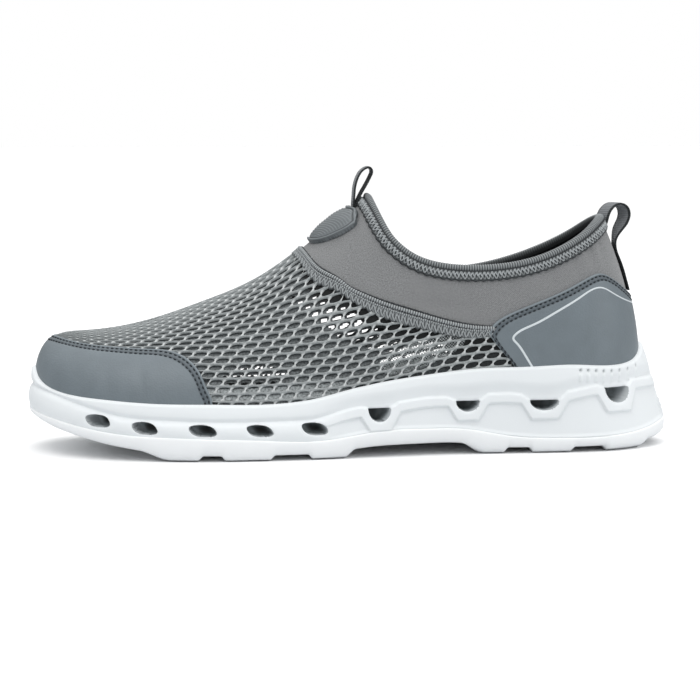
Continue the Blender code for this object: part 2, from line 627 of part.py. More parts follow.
def make_midsole(look):
    """Foam cup: outer side with its relief, inner wall round the upper, footbed and flat underside."""
    stations = shoe_columns()
    sides = {}
    for side in (LATERAL, MEDIAL):
        foxing = round_spline(FOXING, 1, stations)
        under = foot(stations, side) + outward(stations, side) * GAP
        under[:, 2] -= GAP
        middle = lifted(stations, foxing * 0.5, side, np.full(len(stations), GAP))
        top = lifted(stations, foxing, side, np.full(len(stations), GAP))
        outer = sole_side(stations, side)
        outer[0] = top
        sides[side] = [under, middle] + outer
    rows = np.stack([ring(a, b) for a, b in zip(sides[LATERAL], sides[MEDIAL])])
    bm = bmesh.new()
    verts = add_grid(bm, rows, closed=True)
    add_ladder(bm, *across(verts[0], len(stations)), flip=True)
    add_ladder(bm, *across(verts[-1], len(stations)))
    bmesh.ops.recalc_face_normals(bm, faces=bm.faces)
    piece = add_piece("midsole", bm, look)
    cut = piece.modifiers.new("windows", "BOOLEAN")
    cut.operation = "DIFFERENCE"
    cut.solver = "EXACT"
    cut.object = make_window_cutters()
    return piece


def lug_share(x):
    """1 on a lug's underside, 0 in a gap of the tread, sloped at the lug's ends."""
    share = np.zeros_like(x)
    for first, final in LUGS:
        reach = np.minimum(x - (first - LUG_RAMP), final + LUG_RAMP - x) / LUG_RAMP
        share = np.maximum(share, np.clip(reach, 0, 1))
    return share


def tread_columns():
    """Stations for the outsole: the shoe's own, and one at each end of every lug's slopes."""
    places = [x for first, final in LUGS for x in (first - LUG_RAMP, first, final, final + LUG_RAMP)]
    at_lugs = station_at(places)
    plain = np.array([s for s in shoe_columns() if np.abs(at_lugs - s).min() > 0.09 or s in (0, TOE)])
    return np.sort(np.concatenate([plain, at_lugs]))


def make_outsole(look):
    """Tread plate under the midsole, with lugs that stand on the floor."""
    stations = tread_columns()
    edge, belly, tread = {}, {}, {}
    for side in (LATERAL, MEDIAL):
        base, out = foot(stations, side), outward(stations, side)
        x = base[:, 0]
        join, low = spline(SOLE_LINES, JOIN, x), spline(SOLE_LINES, TREAD, x)
        flare, inset = round_spline(FLARE, 1, stations), round_spline(FLARE, 2, stations)
        edge[side] = np.column_stack([(base + out * flare[:, None])[:, :2], join - GAP])
        belly_z = join - GAP - 0.45 * (join - low)
        belly[side] = np.column_stack([(base + out * (flare - 0.2)[:, None])[:, :2], belly_z])
        tread[side] = np.column_stack([(base + out * (flare - inset)[:, None])[:, :2], low])
    lug = lug_share(foot(stations, LATERAL)[:, 0])
    bm = bmesh.new()
    rows = np.stack([ring(edge[LATERAL], edge[MEDIAL]), ring(belly[LATERAL], belly[MEDIAL])])
    verts = add_grid(bm, rows, closed=True)
    add_ladder(bm, *across(verts[0], len(stations)))
    lateral_belly, medial_belly = across(verts[1], len(stations))
    under = []
    for share, block in zip(TREAD_SHARES, TREAD_BLOCK):
        line = tread[LATERAL] * (1 - share) + tread[MEDIAL] * share
        line[:, 2] *= 1 - lug * block
        under.append(line)
    under = np.stack(under)
    heel_point, toe_point = under[:, 0].mean(0), under[:, -1].mean(0)
    grid = [[bm.verts.new(p * MM) for p in line[1:-1]] for line in under]
    heel, toe = bm.verts.new(heel_point * MM), bm.verts.new(toe_point * MM)
    columns = [[heel] + row + [toe] for row in grid]
    for a, b in zip(columns, columns[1:]):
        add_ladder(bm, a, b)
    add_ladder(bm, lateral_belly, columns[0])
    add_ladder(bm, columns[-1], medial_belly)
    bmesh.ops.recalc_face_normals(bm, faces=bm.faces)
    return add_piece("outsole", bm, look)


def make_insole(look):
    """Loose foam sole that lies inside the upper on the footbed."""
    stations = shoe_columns()
    clear = 0.6
    inset = WALL + clear
    levels = [(0.0, inset), (INSOLE_THICK - 1.0, inset + 0.3), (INSOLE_THICK, inset + 1.4)]
    sides = {}
    for side in (LATERAL, MEDIAL):
        base, out = foot(stations, side), outward(stations, side)
        sides[side] = [base - out * back + [0, 0, height] for height, back in levels]
    rows = np.stack([ring(a, b) for a, b in zip(sides[LATERAL], sides[MEDIAL])])
    bm = bmesh.new()
    verts = add_grid(bm, rows, closed=True)
    add_ladder(bm, *across(verts[0], len(stations)))
    add_ladder(bm, *across(verts[-1], len(stations)))
    bmesh.ops.recalc_face_normals(bm, faces=bm.faces)
    return add_piece("insole", bm, look)


def main():
    for old in list(bpy.data.objects):
        bpy.data.objects.remove(old, do_unlink=True)
    foam = material("white foam", (0.82, 0.85, 0.86), 0.6)
    rubber = material("white rubber", (0.74, 0.77, 0.78), 0.7)
    mesh_cloth = material("grey mesh cloth", (0.16, 0.17, 0.17), 0.9)
    coated = material("blue-grey coated leather", (0.16, 0.19, 0.21), 0.5)
    knit = material("grey elastic knit", (0.13, 0.14, 0.14), 0.9)
    webbing = material("grey webbing", (0.17, 0.18, 0.18), 0.9)
    badge = material("grey moulded rubber", (0.15, 0.16, 0.17), 0.6)
    lining = material("dark grey foam", (0.05, 0.05, 0.06), 0.9)
    make_outsole(rubber)
    make_midsole(foam)
    make_insole(lining)
    make_upper(mesh_cloth)
    make_toe_cap(coated)
    make_heel_counter(coated)
    make_collar_binding(knit)
    make_seam_tape(knit)
    make_instep_badge(badge)
    make_front_loop(webbing)
    make_heel_loop(webbing)


main()
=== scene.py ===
# %% [markdown]
# # A slip-on walking shoe
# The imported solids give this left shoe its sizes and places. Here each solid gets its cloth, foam or
# rubber: an open net on the vamp, a knitted collar edge, stitched panels and a sole with its relief. Plain
# shells with painted patterns would be quicker, but a net or a seam only looks right when light falls into
# real holes and on real threads. The toe points along -X, the outer side faces -Y, and the floor is z = 0.
# Sizes below are millimetres.

import bmesh
import bpy
import numpy as np
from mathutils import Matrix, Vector


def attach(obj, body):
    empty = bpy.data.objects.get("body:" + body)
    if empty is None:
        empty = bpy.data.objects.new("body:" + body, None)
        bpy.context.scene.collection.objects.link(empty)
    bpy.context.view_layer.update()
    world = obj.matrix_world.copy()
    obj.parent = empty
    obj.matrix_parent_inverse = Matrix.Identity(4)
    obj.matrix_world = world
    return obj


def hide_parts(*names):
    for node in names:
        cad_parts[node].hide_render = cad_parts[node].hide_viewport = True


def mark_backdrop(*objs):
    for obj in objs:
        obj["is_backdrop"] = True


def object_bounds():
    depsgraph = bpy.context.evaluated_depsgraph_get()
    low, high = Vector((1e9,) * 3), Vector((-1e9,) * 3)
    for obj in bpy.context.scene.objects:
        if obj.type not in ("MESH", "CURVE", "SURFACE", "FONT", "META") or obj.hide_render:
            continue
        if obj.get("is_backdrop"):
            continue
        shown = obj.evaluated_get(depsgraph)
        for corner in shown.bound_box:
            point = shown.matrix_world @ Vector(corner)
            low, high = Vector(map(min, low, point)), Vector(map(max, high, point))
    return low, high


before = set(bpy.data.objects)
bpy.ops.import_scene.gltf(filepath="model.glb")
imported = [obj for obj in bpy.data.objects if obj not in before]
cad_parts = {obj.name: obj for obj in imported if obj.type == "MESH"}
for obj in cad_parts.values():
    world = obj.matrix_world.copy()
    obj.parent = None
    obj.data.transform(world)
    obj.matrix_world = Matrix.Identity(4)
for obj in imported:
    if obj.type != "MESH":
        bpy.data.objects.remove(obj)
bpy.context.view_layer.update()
MM = 0.001
LATERAL, MEDIAL = -1, 1
SIDES = (LATERAL, MEDIAL)
THROAT, TOE = 8, 15

# %% [markdown]
# ## Colours and nodes
# Colours are written as the eye picks them, in sRGB hex, and Blender mixes light in linear values, so one
# function turns one into the other. Shader nodes could be added and linked line by line. A small function
# that adds a node with its settings and links at once keeps every material to a few lines.


# %% Colours and nodes
def linear(code):
    """sRGB hex to linear RGBA: dark channels are divided by 12.92, the others follow a power of 2.4."""
    channel = np.array([int(code[i:i + 2], 16) for i in (1, 3, 5)]) / 255
    value = np.where(channel <= 0.04045, channel / 12.92, ((channel + 0.055) / 1.055)**2.4)
    return (*value.tolist(), 1.0)


def node(tree, kind, inputs, **settings):
    """Add a shader node. An input is linked when it is given a socket and set when it is given a value."""
    made = tree.nodes.new("ShaderNode" + kind)
    for name, value in settings.items():
        setattr(made, name, value)
    for name, value in inputs.items():
        if isinstance(value, bpy.types.NodeSocket):
            tree.links.new(value, made.inputs[name])
        else:
            made.inputs[name].default_value = value
    return made


def new_material(name, code, roughness):
    """A material with one colour and roughness, its node tree and its shader's inputs."""
    made = bpy.data.materials.new(name)
    made.use_nodes = True
    made.diffuse_color = linear(code)
    inputs = made.node_tree.nodes["Principled BSDF"].inputs
    inputs["Base Color"].default_value = linear(code)
    inputs["Roughness"].default_value = roughness
    return made, made.node_tree, inputs


print("white is", linear("#ffffff"), "and mid grey", linear("#808080"))

# %% [markdown]
# ## The last
# A shoemaker builds every piece on a last, the form of the foot. It could be sculpted, but a table with a
# row for each section keeps its sizes readable, and cubic curves join the rows. Each station, 0 at the heel
# to 15 at the toe tip, has an arch from the foot edge up to the collar's rim or the ridge. A place is a
# station, a girth share up that arch and a side. The solids stand on the same last. Only the rim beside the
# ankle lies up to 3 mm lower here, as in the photo.

# %% Tables of the last
# Foot edge: station, x, lateral y, medial y, z, lean at the foot, foot handle
FOOT = np.array([
    (0, 132.8, 0.0, 0.0, 30.0, -3, 26), (1, 126.0, -17.5, 17.5, 30.0, -5, 24),
    (2, 110.0, -30.0, 29.5, 30.0, -6, 22), (3, 88.0, -34.0, 33.0, 29.5, -5, 20),
    (4, 62.0, -35.0, 34.0, 28.5, -3, 20), (5, 38.0, -36.5, 34.5, 26.5, 0, 20),
    (6, 18.0, -39.5, 35.5, 24.0, 3, 24), (7, 4.0, -42.0, 37.0, 22.5, 5, 34),
    (8, -10.0, -44.5, 39.0, 21.0, 6, 41), (9, -26.0, -46.8, 42.0, 20.0, 6, 37),
    (10, -46.0, -48.6, 46.0, 19.3, 5, 30), (11, -68.0, -48.6, 48.6, 19.3, 3, 26),
    (12, -92.0, -45.0, 47.0, 20.8, 0, 22), (13, -116.0, -35.5, 39.5, 23.5, -3, 17),
    (14, -135.0, -18.0, 26.5, 26.5, -4, 14), (15, -142.3, 5.0, 5.0, 28.0, -3, 13),
])
# Collar rim: station, x, lateral y, medial y, lateral z, medial z, lean, handle, sweep toward the throat
RIM = np.array([
    (0, 116.0, 0.0, 0.0, 104.0, 104.0, 24, 24, 0), (1, 112.5, -10.5, 10.5, 102.0, 101.4, 22, 22, 0),
    (2, 103.0, -20.0, 20.0, 95.6, 94.4, 17, 20, 0), (3, 84.0, -26.5, 26.5, 87.0, 85.4, 13, 18, 0),
    (4, 60.0, -29.0, 29.0, 82.9, 79.2, 12, 18, 0), (5, 37.0, -28.2, 28.5, 84.2, 79.0, 16, 18, 0.03),
    (6, 21.5, -24.5, 26.0, 91.0, 86.5, 28, 18, 0.17), (6.5, 15.6, -20.5, 22.5, 97.2, 94.0, 38, 18, 0.27),
    (7, 11.6, -14.0, 17.5, 105.0, 103.5, 55, 20, 0.37), (8, 8.0, 3.0, 3.0, 114.0, 114.0, 90, 25, 0.46),
])
# Ridge from the throat to the toe: station, x, y, z, handle, sweep
RIDGE = np.array([
    (8, 8.0, 3.0, 114.0, 25, 0.46), (9, -14.0, 3.0, 96.5, 20, 0.20), (10, -40.0, 3.2, 77.5, 22, 0.04),
    (11, -66.0, 3.8, 65.8, 26, 0), (12, -90.0, 4.5, 57.2, 26, 0), (13, -109.0, 5.0, 53.3, 22, 0),
    (14, -121.0, 5.0, 52.5, 17, 0), (15, -126.0, 5.0, 52.3, 13, 0),
])
# Sole's top edge on the upper: station, girth share
FOXING = np.array([
    (0, 0.215), (0.5, 0.172), (1, 0.130), (1.5, 0.118), (2, 0.127), (2.7, 0.160), (3.4, 0.172),
    (4.2, 0.186), (5, 0.176), (6, 0.150), (7, 0.108), (8, 0.074), (9, 0.061), (10, 0.064),
    (11, 0.075), (12, 0.067), (13, 0.058), (14, 0.076), (14.6, 0.190), (15, 0.290),
])
print("the last is", FOOT[0, 1] - FOOT[-1, 1], "mm long at the foot edge")


# %% Smooth curves
def spline(rows, column, at, level_start=False, level_end=False):
    """Cubic curve through one column of a table over its first column, with free or level ends."""
    x, y = rows[:, 0], rows[:, column]
    step = np.diff(x)
    inner = np.arange(1, len(x) - 1)
    matrix, turn = np.eye(len(x)), np.zeros(len(x))
    matrix[inner, inner - 1], matrix[inner, inner + 1] = step[:-1], step[1:]
    matrix[inner, inner] = 2 * (step[:-1] + step[1:])
    turn[1:-1] = 6 * np.diff(np.diff(y) / step)
    if level_start:
        matrix[0, :2] = 2 * step[0], step[0]
        turn[0] = 6 * (y[1] - y[0]) / step[0]
    if level_end:
        matrix[-1, -2:] = step[-1], 2 * step[-1]
        turn[-1] = -6 * (y[-1] - y[-2]) / step[-1]
    bend = np.linalg.solve(matrix, turn)
    at = np.clip(np.asarray(at, float), x[0], x[-1])
    i = np.clip(np.searchsorted(x, at, side="right") - 1, 0, len(x) - 2)
    after, before, h = at - x[i], x[i + 1] - at, step[i]
    return ((bend[i] * before**3 + bend[i + 1] * after**3) / (6 * h)
            + (y[i] / h - bend[i] * h / 6) * before + (y[i + 1] / h - bend[i + 1] * h / 6) * after)


def round_spline(rows, column, at):
    """A spline that is level at both ends, where the shoe's two sides meet in one round curve."""
    return spline(rows, column, at, True, True)


def ease(t):
    """Smooth step from 0 to 1: three t squared less two t cubed, held flat outside."""
    t = np.clip(t, 0, 1)
    return t * t * (3 - 2 * t)


def unit(vectors):
    """Vectors scaled to a length of one."""
    return vectors / np.maximum(np.linalg.norm(vectors, axis=-1, keepdims=True), 1e-9)


print("half way along, the foot edge is at x", spline(FOOT, 1, 7.5).round(1))


# %% Curves of the last
NUDGE = 0.02


def foot(station, side):
    """Foot edge of the last, where its wall meets the sole."""
    return np.stack([round_spline(FOOT, 1, station), spline(FOOT, 2 if side == LATERAL else 3, station),
                     round_spline(FOOT, 4, station)], -1)


def outward(station, side):
    """Level direction square to the foot edge, away from the foot."""
    station = np.asarray(station, float)
    along = foot(np.minimum(station + NUDGE, TOE), side) - foot(np.maximum(station - NUDGE, 0), side)
    out = np.stack([along[..., 1], -along[..., 0], 0 * station], -1) * side
    out = np.where((station <= 0)[..., None], [1.0, 0.0, 0.0], out)
    return unit(np.where((station >= TOE)[..., None], [-1.0, 0.0, 0.0], out))


def paused(station):
    """Station warped so that the top line rests at the throat and turns there smoothly."""
    away = np.abs(station - THROAT)
    return np.where(away < 1, THROAT + np.sign(station - THROAT) * (2 * away**2 - away**3), station)


def top_line(station, side):
    """Collar rim behind the throat, and the ridge of the vamp in front of it."""
    warped = paused(station)
    y, z = (2, 4) if side == LATERAL else (3, 5)
    rim = np.stack([round_spline(RIM, 1, warped), spline(RIM, y, warped), round_spline(RIM, z, warped)], -1)
    ridge = np.stack([spline(RIDGE, column, warped) for column in (1, 2, 3)], -1)
    return np.where((warped < THROAT)[..., None], rim, ridge)


def section(station, side, samples):
    """One arch for each station: a cubic with two handles from the foot edge to the top line."""
    warped = paused(station)
    start, end = foot(station, side), top_line(station, side)
    inward, up = -outward(station, side), np.array([0.0, 0.0, 1.0])
    lean = np.radians(round_spline(FOOT, 5, station))[:, None]
    leave = start + round_spline(FOOT, 6, station)[:, None] * (np.cos(lean) * up + np.sin(lean) * inward)
    behind = warped < THROAT
    lean = np.radians(np.where(behind, spline(RIM, 6, warped, True), 90.0))[:, None]
    handle = np.where(behind, spline(RIM, 7, warped, True), spline(RIDGE, 4, warped))[:, None]
    sweep = np.where(behind, spline(RIM, 8, warped), spline(RIDGE, 5, warped))[:, None]
    near = np.clip(warped, THROAT + NUDGE, TOE - NUDGE)
    steps = [spline(RIDGE, c, near - NUDGE) - spline(RIDGE, c, near + NUDGE) for c in (1, 2, 3)]
    back = unit(np.stack(steps, -1))
    arrive = end - handle * unit((1 - sweep) * (np.cos(lean) * up + np.sin(lean) * inward) + sweep * back)
    t = np.linspace(0, 1, samples)[:, None]
    start, leave, arrive, end = (p[:, None] for p in (start, leave, arrive, end))
    return (1 - t)**3 * start + 3 * (1 - t)**2 * t * leave + 3 * (1 - t) * t**2 * arrive + t**3 * end


print("throat at", top_line(np.array([float(THROAT)]), LATERAL)[0].round(1))

# %% [markdown]
# ## A fine table of the last's skin
# Every piece of the upper asks the last for thousands of places. Each could work out its own arches, but
# doing that once on a fine grid and reading between its points is quick, and it gives each place its
# outward direction too.

# %% Skin table
STATION_STEPS, GIRTH_STEPS = 600, 160
STATIONS = np.linspace(0, TOE, STATION_STEPS + 1)
GIRTHS = np.linspace(0, 1, GIRTH_STEPS + 1)


def run_length(points):
    """Length along each line of points, from 0 at its first point."""
    step = np.linalg.norm(np.diff(points, axis=-2), axis=-1)
    return np.concatenate([np.zeros(step.shape[:-1] + (1,)), np.cumsum(step, -1)], -1)


def read_at(at, run, values):
    """Columns of values along a line, read straight between its points at other lengths."""
    return np.stack([np.interp(at, run, column) for column in values.T], -1)


def skin_places(side):
    """Each arch cut into even girth shares by its own length."""
    arch = section(STATIONS, side, GIRTH_STEPS + 1)
    run = run_length(arch)
    share = run / run[:, -1:]
    return np.stack([read_at(GIRTHS, s, a) for s, a in zip(share, arch)]), run[:, -1]


def shared_directions(places):
    """Cross product of each cell's diagonals, added up at its four corners."""
    cell = np.cross(places[1:, 1:] - places[:-1, :-1], places[:-1, 1:] - places[1:, :-1])
    total = np.zeros_like(places)
    for rows in (slice(0, -1), slice(1, None)):
        for columns in (slice(0, -1), slice(1, None)):
            total[rows, columns] += cell
    return total


PLACE, OUT, ARCH = {}, {}, {}
for side in SIDES:
    PLACE[side], ARCH[side] = skin_places(side)
    OUT[side] = shared_directions(PLACE[side]) * side
# Where both sides meet they share one direction: heel line, toe line and ridge
ridge_rows = STATIONS >= THROAT
for line in ((0, slice(None)), (-1, slice(None)), (ridge_rows, -1)):
    both = OUT[LATERAL][line] + OUT[MEDIAL][line]
    OUT[LATERAL][line] = OUT[MEDIAL][line] = both
OUT = {side: unit(OUT[side]) for side in SIDES}
at_throat = THROAT * STATION_STEPS // TOE
print("arch lengths at the throat:", ARCH[LATERAL][at_throat].round(1), ARCH[MEDIAL][at_throat].round(1))


# %% Places on the skin
def bilinear(table, row, column):
    """Read between a table's points: shares of the four around a place, by how near each is."""
    row = np.clip(row, 0, table.shape[0] - 1.000001)
    column = np.clip(column, 0, table.shape[1] - 1.000001)
    row, column = np.broadcast_arrays(row, column)
    i, j = row.astype(int), column.astype(int)
    u, v = row - i, column - j
    if table.ndim > 2:
        u, v = u[..., None], v[..., None]
    low = table[i, j] * (1 - u) + table[i + 1, j] * u
    return low * (1 - v) + (table[i, j + 1] * (1 - u) + table[i + 1, j + 1] * u) * v


def skin(station, girth, side, height=0.0):
    """Place on the upper, raised along its outward direction by a height, and that direction."""
    row, column = np.asarray(station) / TOE * STATION_STEPS, np.asarray(girth) * GIRTH_STEPS
    out = unit(bilinear(OUT[side], row, column))
    return bilinear(PLACE[side], row, column) + out * np.asarray(height)[..., None], out


def arch_length(station, side):
    """Length of the arch at a station."""
    return np.interp(station, STATIONS, ARCH[side])


print("heel's back, half way up:", skin(np.zeros(1), np.full(1, 0.5), LATERAL)[0][0].round(1))

# %% [markdown]
# ## From arrays to pieces
# A surface here is a grid of points with a formula behind it. Blender's own shapes could be bent to fit,
# but a grid keeps its formula and its rows for seams and patterns. One function turns grids into a mesh,
# shades it smooth, hides the solid it stands for, and prints its size in triangles.


# %% Grids and faces
def grid_faces(rows, columns, closed=False, flip=False):
    """Corner numbers of a grid's quads. A closed grid joins its last column to its first."""
    r = np.arange(rows - 1)[:, None]
    c = np.arange(columns if closed else columns - 1)[None, :]
    n = (c + 1) % columns
    quads = np.stack([r * columns + c, r * columns + n, (r + 1) * columns + n, (r + 1) * columns + c], -1)
    quads = quads.reshape(-1, 4)
    return quads[:, ::-1] if flip else quads


def sheet(grid, tone=None, closed=False, flip=False):
    """Points, faces and tones of a grid of points. The tone is 0 where none is given."""
    tone = np.zeros(grid.shape[:2]) if tone is None else tone
    return grid.reshape(-1, 3), grid_faces(*grid.shape[:2], closed, flip), tone.ravel()


def joined(parts):
    """Several lists of points, faces and tones as one."""
    points, faces, tones = zip(*parts)
    starts = np.cumsum([0] + [len(p) for p in points[:-1]])
    faces = [f + s for f, s in zip(faces, starts)]
    return np.concatenate(points), np.concatenate(faces), np.concatenate(tones)


def ring(lateral, medial):
    """Lateral columns from heel to toe, then medial columns back to the heel, each end kept once."""
    return np.concatenate([lateral, medial[-2:0:-1]])


def tubes(paths, outs, radius, tone, sides=6):
    """Round strands: a circle square to each path at each of its points, with a radius for each point."""
    along = unit(np.gradient(paths, axis=1))
    across = unit(np.cross(along, outs))
    up = np.cross(across, along)
    angle = 2 * np.pi * np.arange(sides) / sides
    turn = np.cos(angle)[:, None] * across[:, :, None] + np.sin(angle)[:, None] * up[:, :, None]
    points = paths[:, :, None] + turn * np.asarray(radius)[..., None, None]
    count, length = paths.shape[:2]
    one = grid_faces(length, sides, closed=True)
    faces = (one[None] + (np.arange(count) * length * sides)[:, None, None]).reshape(-1, 4)
    tones = np.broadcast_to(np.asarray(tone, float)[..., None], points.shape[:3])
    return points.reshape(-1, 3), faces, tones.reshape(-1)


print("a grid of 3 by 4 points has", len(grid_faces(3, 4)), "quads")

# %% From arrays to pieces
MERGE, SLIVER = 0.004, 0.0005


def add_piece(name, surface, look, solid, closed=True, uv=None):
    """Mesh object of points in mm, quads, and a tone for each point or quad corner.

    Points that lie together are merged, and a closed piece has its faces turned outwards.
    """
    points, faces, tone = surface
    mesh = bpy.data.meshes.new(name)
    mesh.from_pydata((points * MM).tolist(), [], faces.tolist())
    shades = mesh.attributes.new("tone", "FLOAT", "POINT" if tone.ndim == 1 else "CORNER")
    shades.data.foreach_set("value", tone.astype(np.float32).ravel())
    if uv is not None:
        layer = mesh.uv_layers.new(name="cloth")
        layer.data.foreach_set("uv", uv[faces.ravel()].astype(np.float32).ravel())
    shape = bmesh.new()
    shape.from_mesh(mesh)
    bmesh.ops.remove_doubles(shape, verts=shape.verts, dist=MERGE * MM)
    bmesh.ops.dissolve_degenerate(shape, edges=shape.edges, dist=SLIVER * MM)
    if closed:
        bmesh.ops.recalc_face_normals(shape, faces=shape.faces)
    shape.to_mesh(mesh)
    shape.free()
    mesh.polygons.foreach_set("use_smooth", np.ones(len(mesh.polygons), bool))
    mesh.materials.append(look)
    piece = bpy.data.objects.new(name, mesh)
    bpy.context.collection.objects.link(piece)
    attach(piece, "root")
    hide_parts(solid)
    print(name, "has", len(mesh.loops) - 2 * len(mesh.polygons), "triangles")
    return piece


print("points closer than", MERGE, "mm become one")

# %% [markdown]
# ## Sole: white foam and white rubber
# The midsole is moulded foam, matte white with a very fine skin, and the outsole a denser rubber, a shade
# whiter. A plain white would look like plaster, so each has a grain of its real size as bump. The openings
# in the side could be left to the lamps alone, but in the photo their greys change from wall to wall. So
# each point of the side carries a tone of painted shade, and the foam's colour follows it through greys to
# black in an opening's core, and to a grey in the dots of the heel marks.

# %% Sole materials
# Foam: matte white with soft highlights, and grey to black where the tone says that an opening lies in shade
foam_look, tree, inputs = new_material("moulded white foam", "#e9edef", 0.55)
# The tone read here is painted shade: grey to black in the openings, and grey in the heel marks' dots
depth = node(tree, "Attribute", {}, attribute_name="tone").outputs["Fac"]
ramp = node(tree, "ValToRGB", {"Fac": depth})
ramp.color_ramp.elements[0].color = linear("#e9edef")
ramp.color_ramp.elements[1].color = linear("#0e0f10")
ramp.color_ramp.elements.new(0.4).color = linear("#9aa0a3")
ramp.color_ramp.elements.new(0.7).color = linear("#5b6163")
tree.links.new(ramp.outputs["Color"], inputs["Base Color"])
place = node(tree, "TexCoord", {}).outputs["Object"]
# Foam grains are about 0.6 mm
grain = node(tree, "TexNoise", {"Vector": place, "Scale": 1 / (0.6 * MM), "Detail": 2.0}).outputs["Fac"]
bump = node(tree, "Bump", {"Height": grain, "Strength": 0.18, "Distance": 0.1 * MM})
tree.links.new(bump.outputs["Normal"], inputs["Normal"])

# Tread rubber: a shade whiter and duller than the foam, so that the tread reads as a layer of its own
rubber_look, tree, inputs = new_material("white tread rubber", "#f8fafb", 0.6)
place = node(tree, "TexCoord", {}).outputs["Object"]
# Its grain is about 0.8 mm
grain = node(tree, "TexNoise", {"Vector": place, "Scale": 1 / (0.8 * MM), "Detail": 3.0}).outputs["Fac"]
bump = node(tree, "Bump", {"Height": grain, "Strength": 0.25, "Distance": 0.1 * MM})
tree.links.new(bump.outputs["Normal"], inputs["Normal"])
print("sole materials:", foam_look.name, "and", rubber_look.name)

# %% [markdown]
# ## The midsole's side
# The side is a sheet that runs round the shoe. Its height goes from the top edge to the join, and its
# offset is the plain flare plus the relief: a crease, a raised rim that dips under the rear openings, sunk
# panels under it, and the openings as deep pockets. Cutting all this out of a block with other blocks would
# leave hard rims everywhere. One formula over run and height keeps soft edges soft and the openings'
# outlines crisp.

# %% Sole sizes
# Heights on the sole's side: foot x, crease above the wave, join of midsole and outsole, tread base
SOLE_LINES = np.array([
    (-142.3, 30.0, 19.5, 16.5), (-133, 27.5, 17.3, 12.8), (-122, 24.0, 14.8, 9.8),
    (-111, 20.9, 12.8, 7.2), (-99, 18.9, 11.5, 5.2), (-86, 18.2, 10.8, 3.4), (-70, 17.5, 10.3, 2.7),
    (-50, 17.3, 9.6, 2.6), (-30, 17.6, 8.6, 2.6), (-20, 18.3, 8.5, 2.7), (-10, 21.0, 9.4, 3.4),
    (0, 23.0, 11.0, 4.6), (14, 24.3, 12.3, 5.4), (30, 26.2, 12.3, 5.6), (48, 26.4, 11.6, 5.0),
    (58, 27.2, 9.8, 3.4), (70, 27.2, 8.0, 2.8), (86, 26.2, 7.0, 2.6), (95, 28.0, 6.9, 2.6),
    (105, 30.0, 7.0, 2.6), (115, 31.0, 7.6, 2.7), (125, 31.6, 9.5, 3.0), (132.8, 31.2, 12.5, 3.6),
])
# How far the side stands out at the join: station, offset, tread edge inset
FLARE = np.array([
    (0, 13.2, 5.0), (1, 11.4, 4.0), (2, 8.2, 2.8), (3, 6.3, 2.0), (4, 5.5, 1.8), (6, 5.4, 1.8),
    (8, 5.5, 1.8), (11, 5.5, 1.8), (13, 5.2, 2.4), (14, 4.8, 3.2), (15, 3.7, 5.0),
])
# Openings: x, z, length, height, slant, whether the wave dips under it
WINDOWS = [
    (-113.5, 17.5, 11.5, 5.5, 1.6, False), (-94.2, 14.9, 10.8, 5.5, 1.6, False),
    (-69.9, 13.9, 11.5, 5.2, 1.6, False), (-45.5, 13.6, 11.0, 5.2, 1.6, False),
    (-21.5, 13.9, 11.0, 5.6, 1.6, False), (7.7, 18.9, 10.6, 6.0, 0.0, True),
    (48.4, 21.7, 10.8, 4.7, 0.0, True), (83.4, 21.6, 13.4, 4.5, 0.0, True),
    (115.2, 25.1, 15.0, 6.8, 0.0, True),
]
RIM_RISE, RIM_TALL, POCKET, GAP, FOXING_THICK = 4.0, 4.0, 9.0, 0.3, 2.2
# Foot of the rim under an opening: half its flat base as a share of the opening, drop, steepness of its ends
RIM_FLAT, RIM_DEEP, RIM_STEEP = 0.46, 3.9, 1.6
# Small marks below the heel's top edge, each a dot over a short bar: x of each
MARKS_X = np.array([99.8, 103.2, 106.6, 110.0, 113.6, 117.4, 121.4, 125.8])


def sole_columns(spacing):
    """Stations that lie evenly along the sole's outline."""
    line = foot(STATIONS, LATERAL) + outward(STATIONS, LATERAL) * round_spline(FLARE, 1, STATIONS)[:, None]
    run = run_length(line)
    return np.interp(np.linspace(0, run[-1], int(run[-1] / spacing)), run, STATIONS)


SOLE = sole_columns(0.55)
print(len(SOLE), "columns along each side of the sole")


# %% Openings of the side
PROBE = 0.05


def openings(run, run_at, z):
    """Signed distance to the nearest opening, below zero inside it, and the painted shade of its inside.

    A slanted opening is a superellipse that leans toward the toe at its top. A rear one is a half moon,
    an ellipse hanging from its flat top edge. The light falls on the wall toward the toe of the first kind
    and on the wall toward the heel of the second.
    """
    nearest, dark = np.full(z.shape, 99.0), np.zeros(z.shape)
    for x, middle, length, height, slant, dips in WINDOWS:
        u = run_at(x) - run
        if dips:
            top = middle + height / 2
            down = np.maximum(top - z, 0) / height
            curve = ((np.abs(u) / (length / 2))**2 + down**2)**0.5
            distance = np.maximum((curve - 1) * height * 0.7, z - top)
            # Painted shade of a rear opening: lighter toward its floor and toward the heel, where painted
            # light falls on the wall
            shade = 0.82 - 0.12 * down - 0.34 * ease((u / length + 0.05) / 0.45)
        else:
            u = u + slant * 2 * (z - middle) / height
            curve = ((np.abs(u) / (length / 2))**2.6 + (np.abs(z - middle) / (height / 2))**2.6)**(1 / 2.6)
            distance = (curve - 1) * height / 2
            # Painted shade of a slanted opening: paler toward the toe, where painted light falls on the
            # wall, and black in a core near its middle
            core = np.exp(-((u - 1.1) / 3.2)**4 - ((z - middle + 0.3) / 1.6)**4)
            shade = 0.32 + 0.14 * ease((u / length + 0.5) / 0.6) + 0.54 * core
        dark = np.where(distance < nearest, shade, dark)
        nearest = np.minimum(nearest, distance)
    return nearest, dark


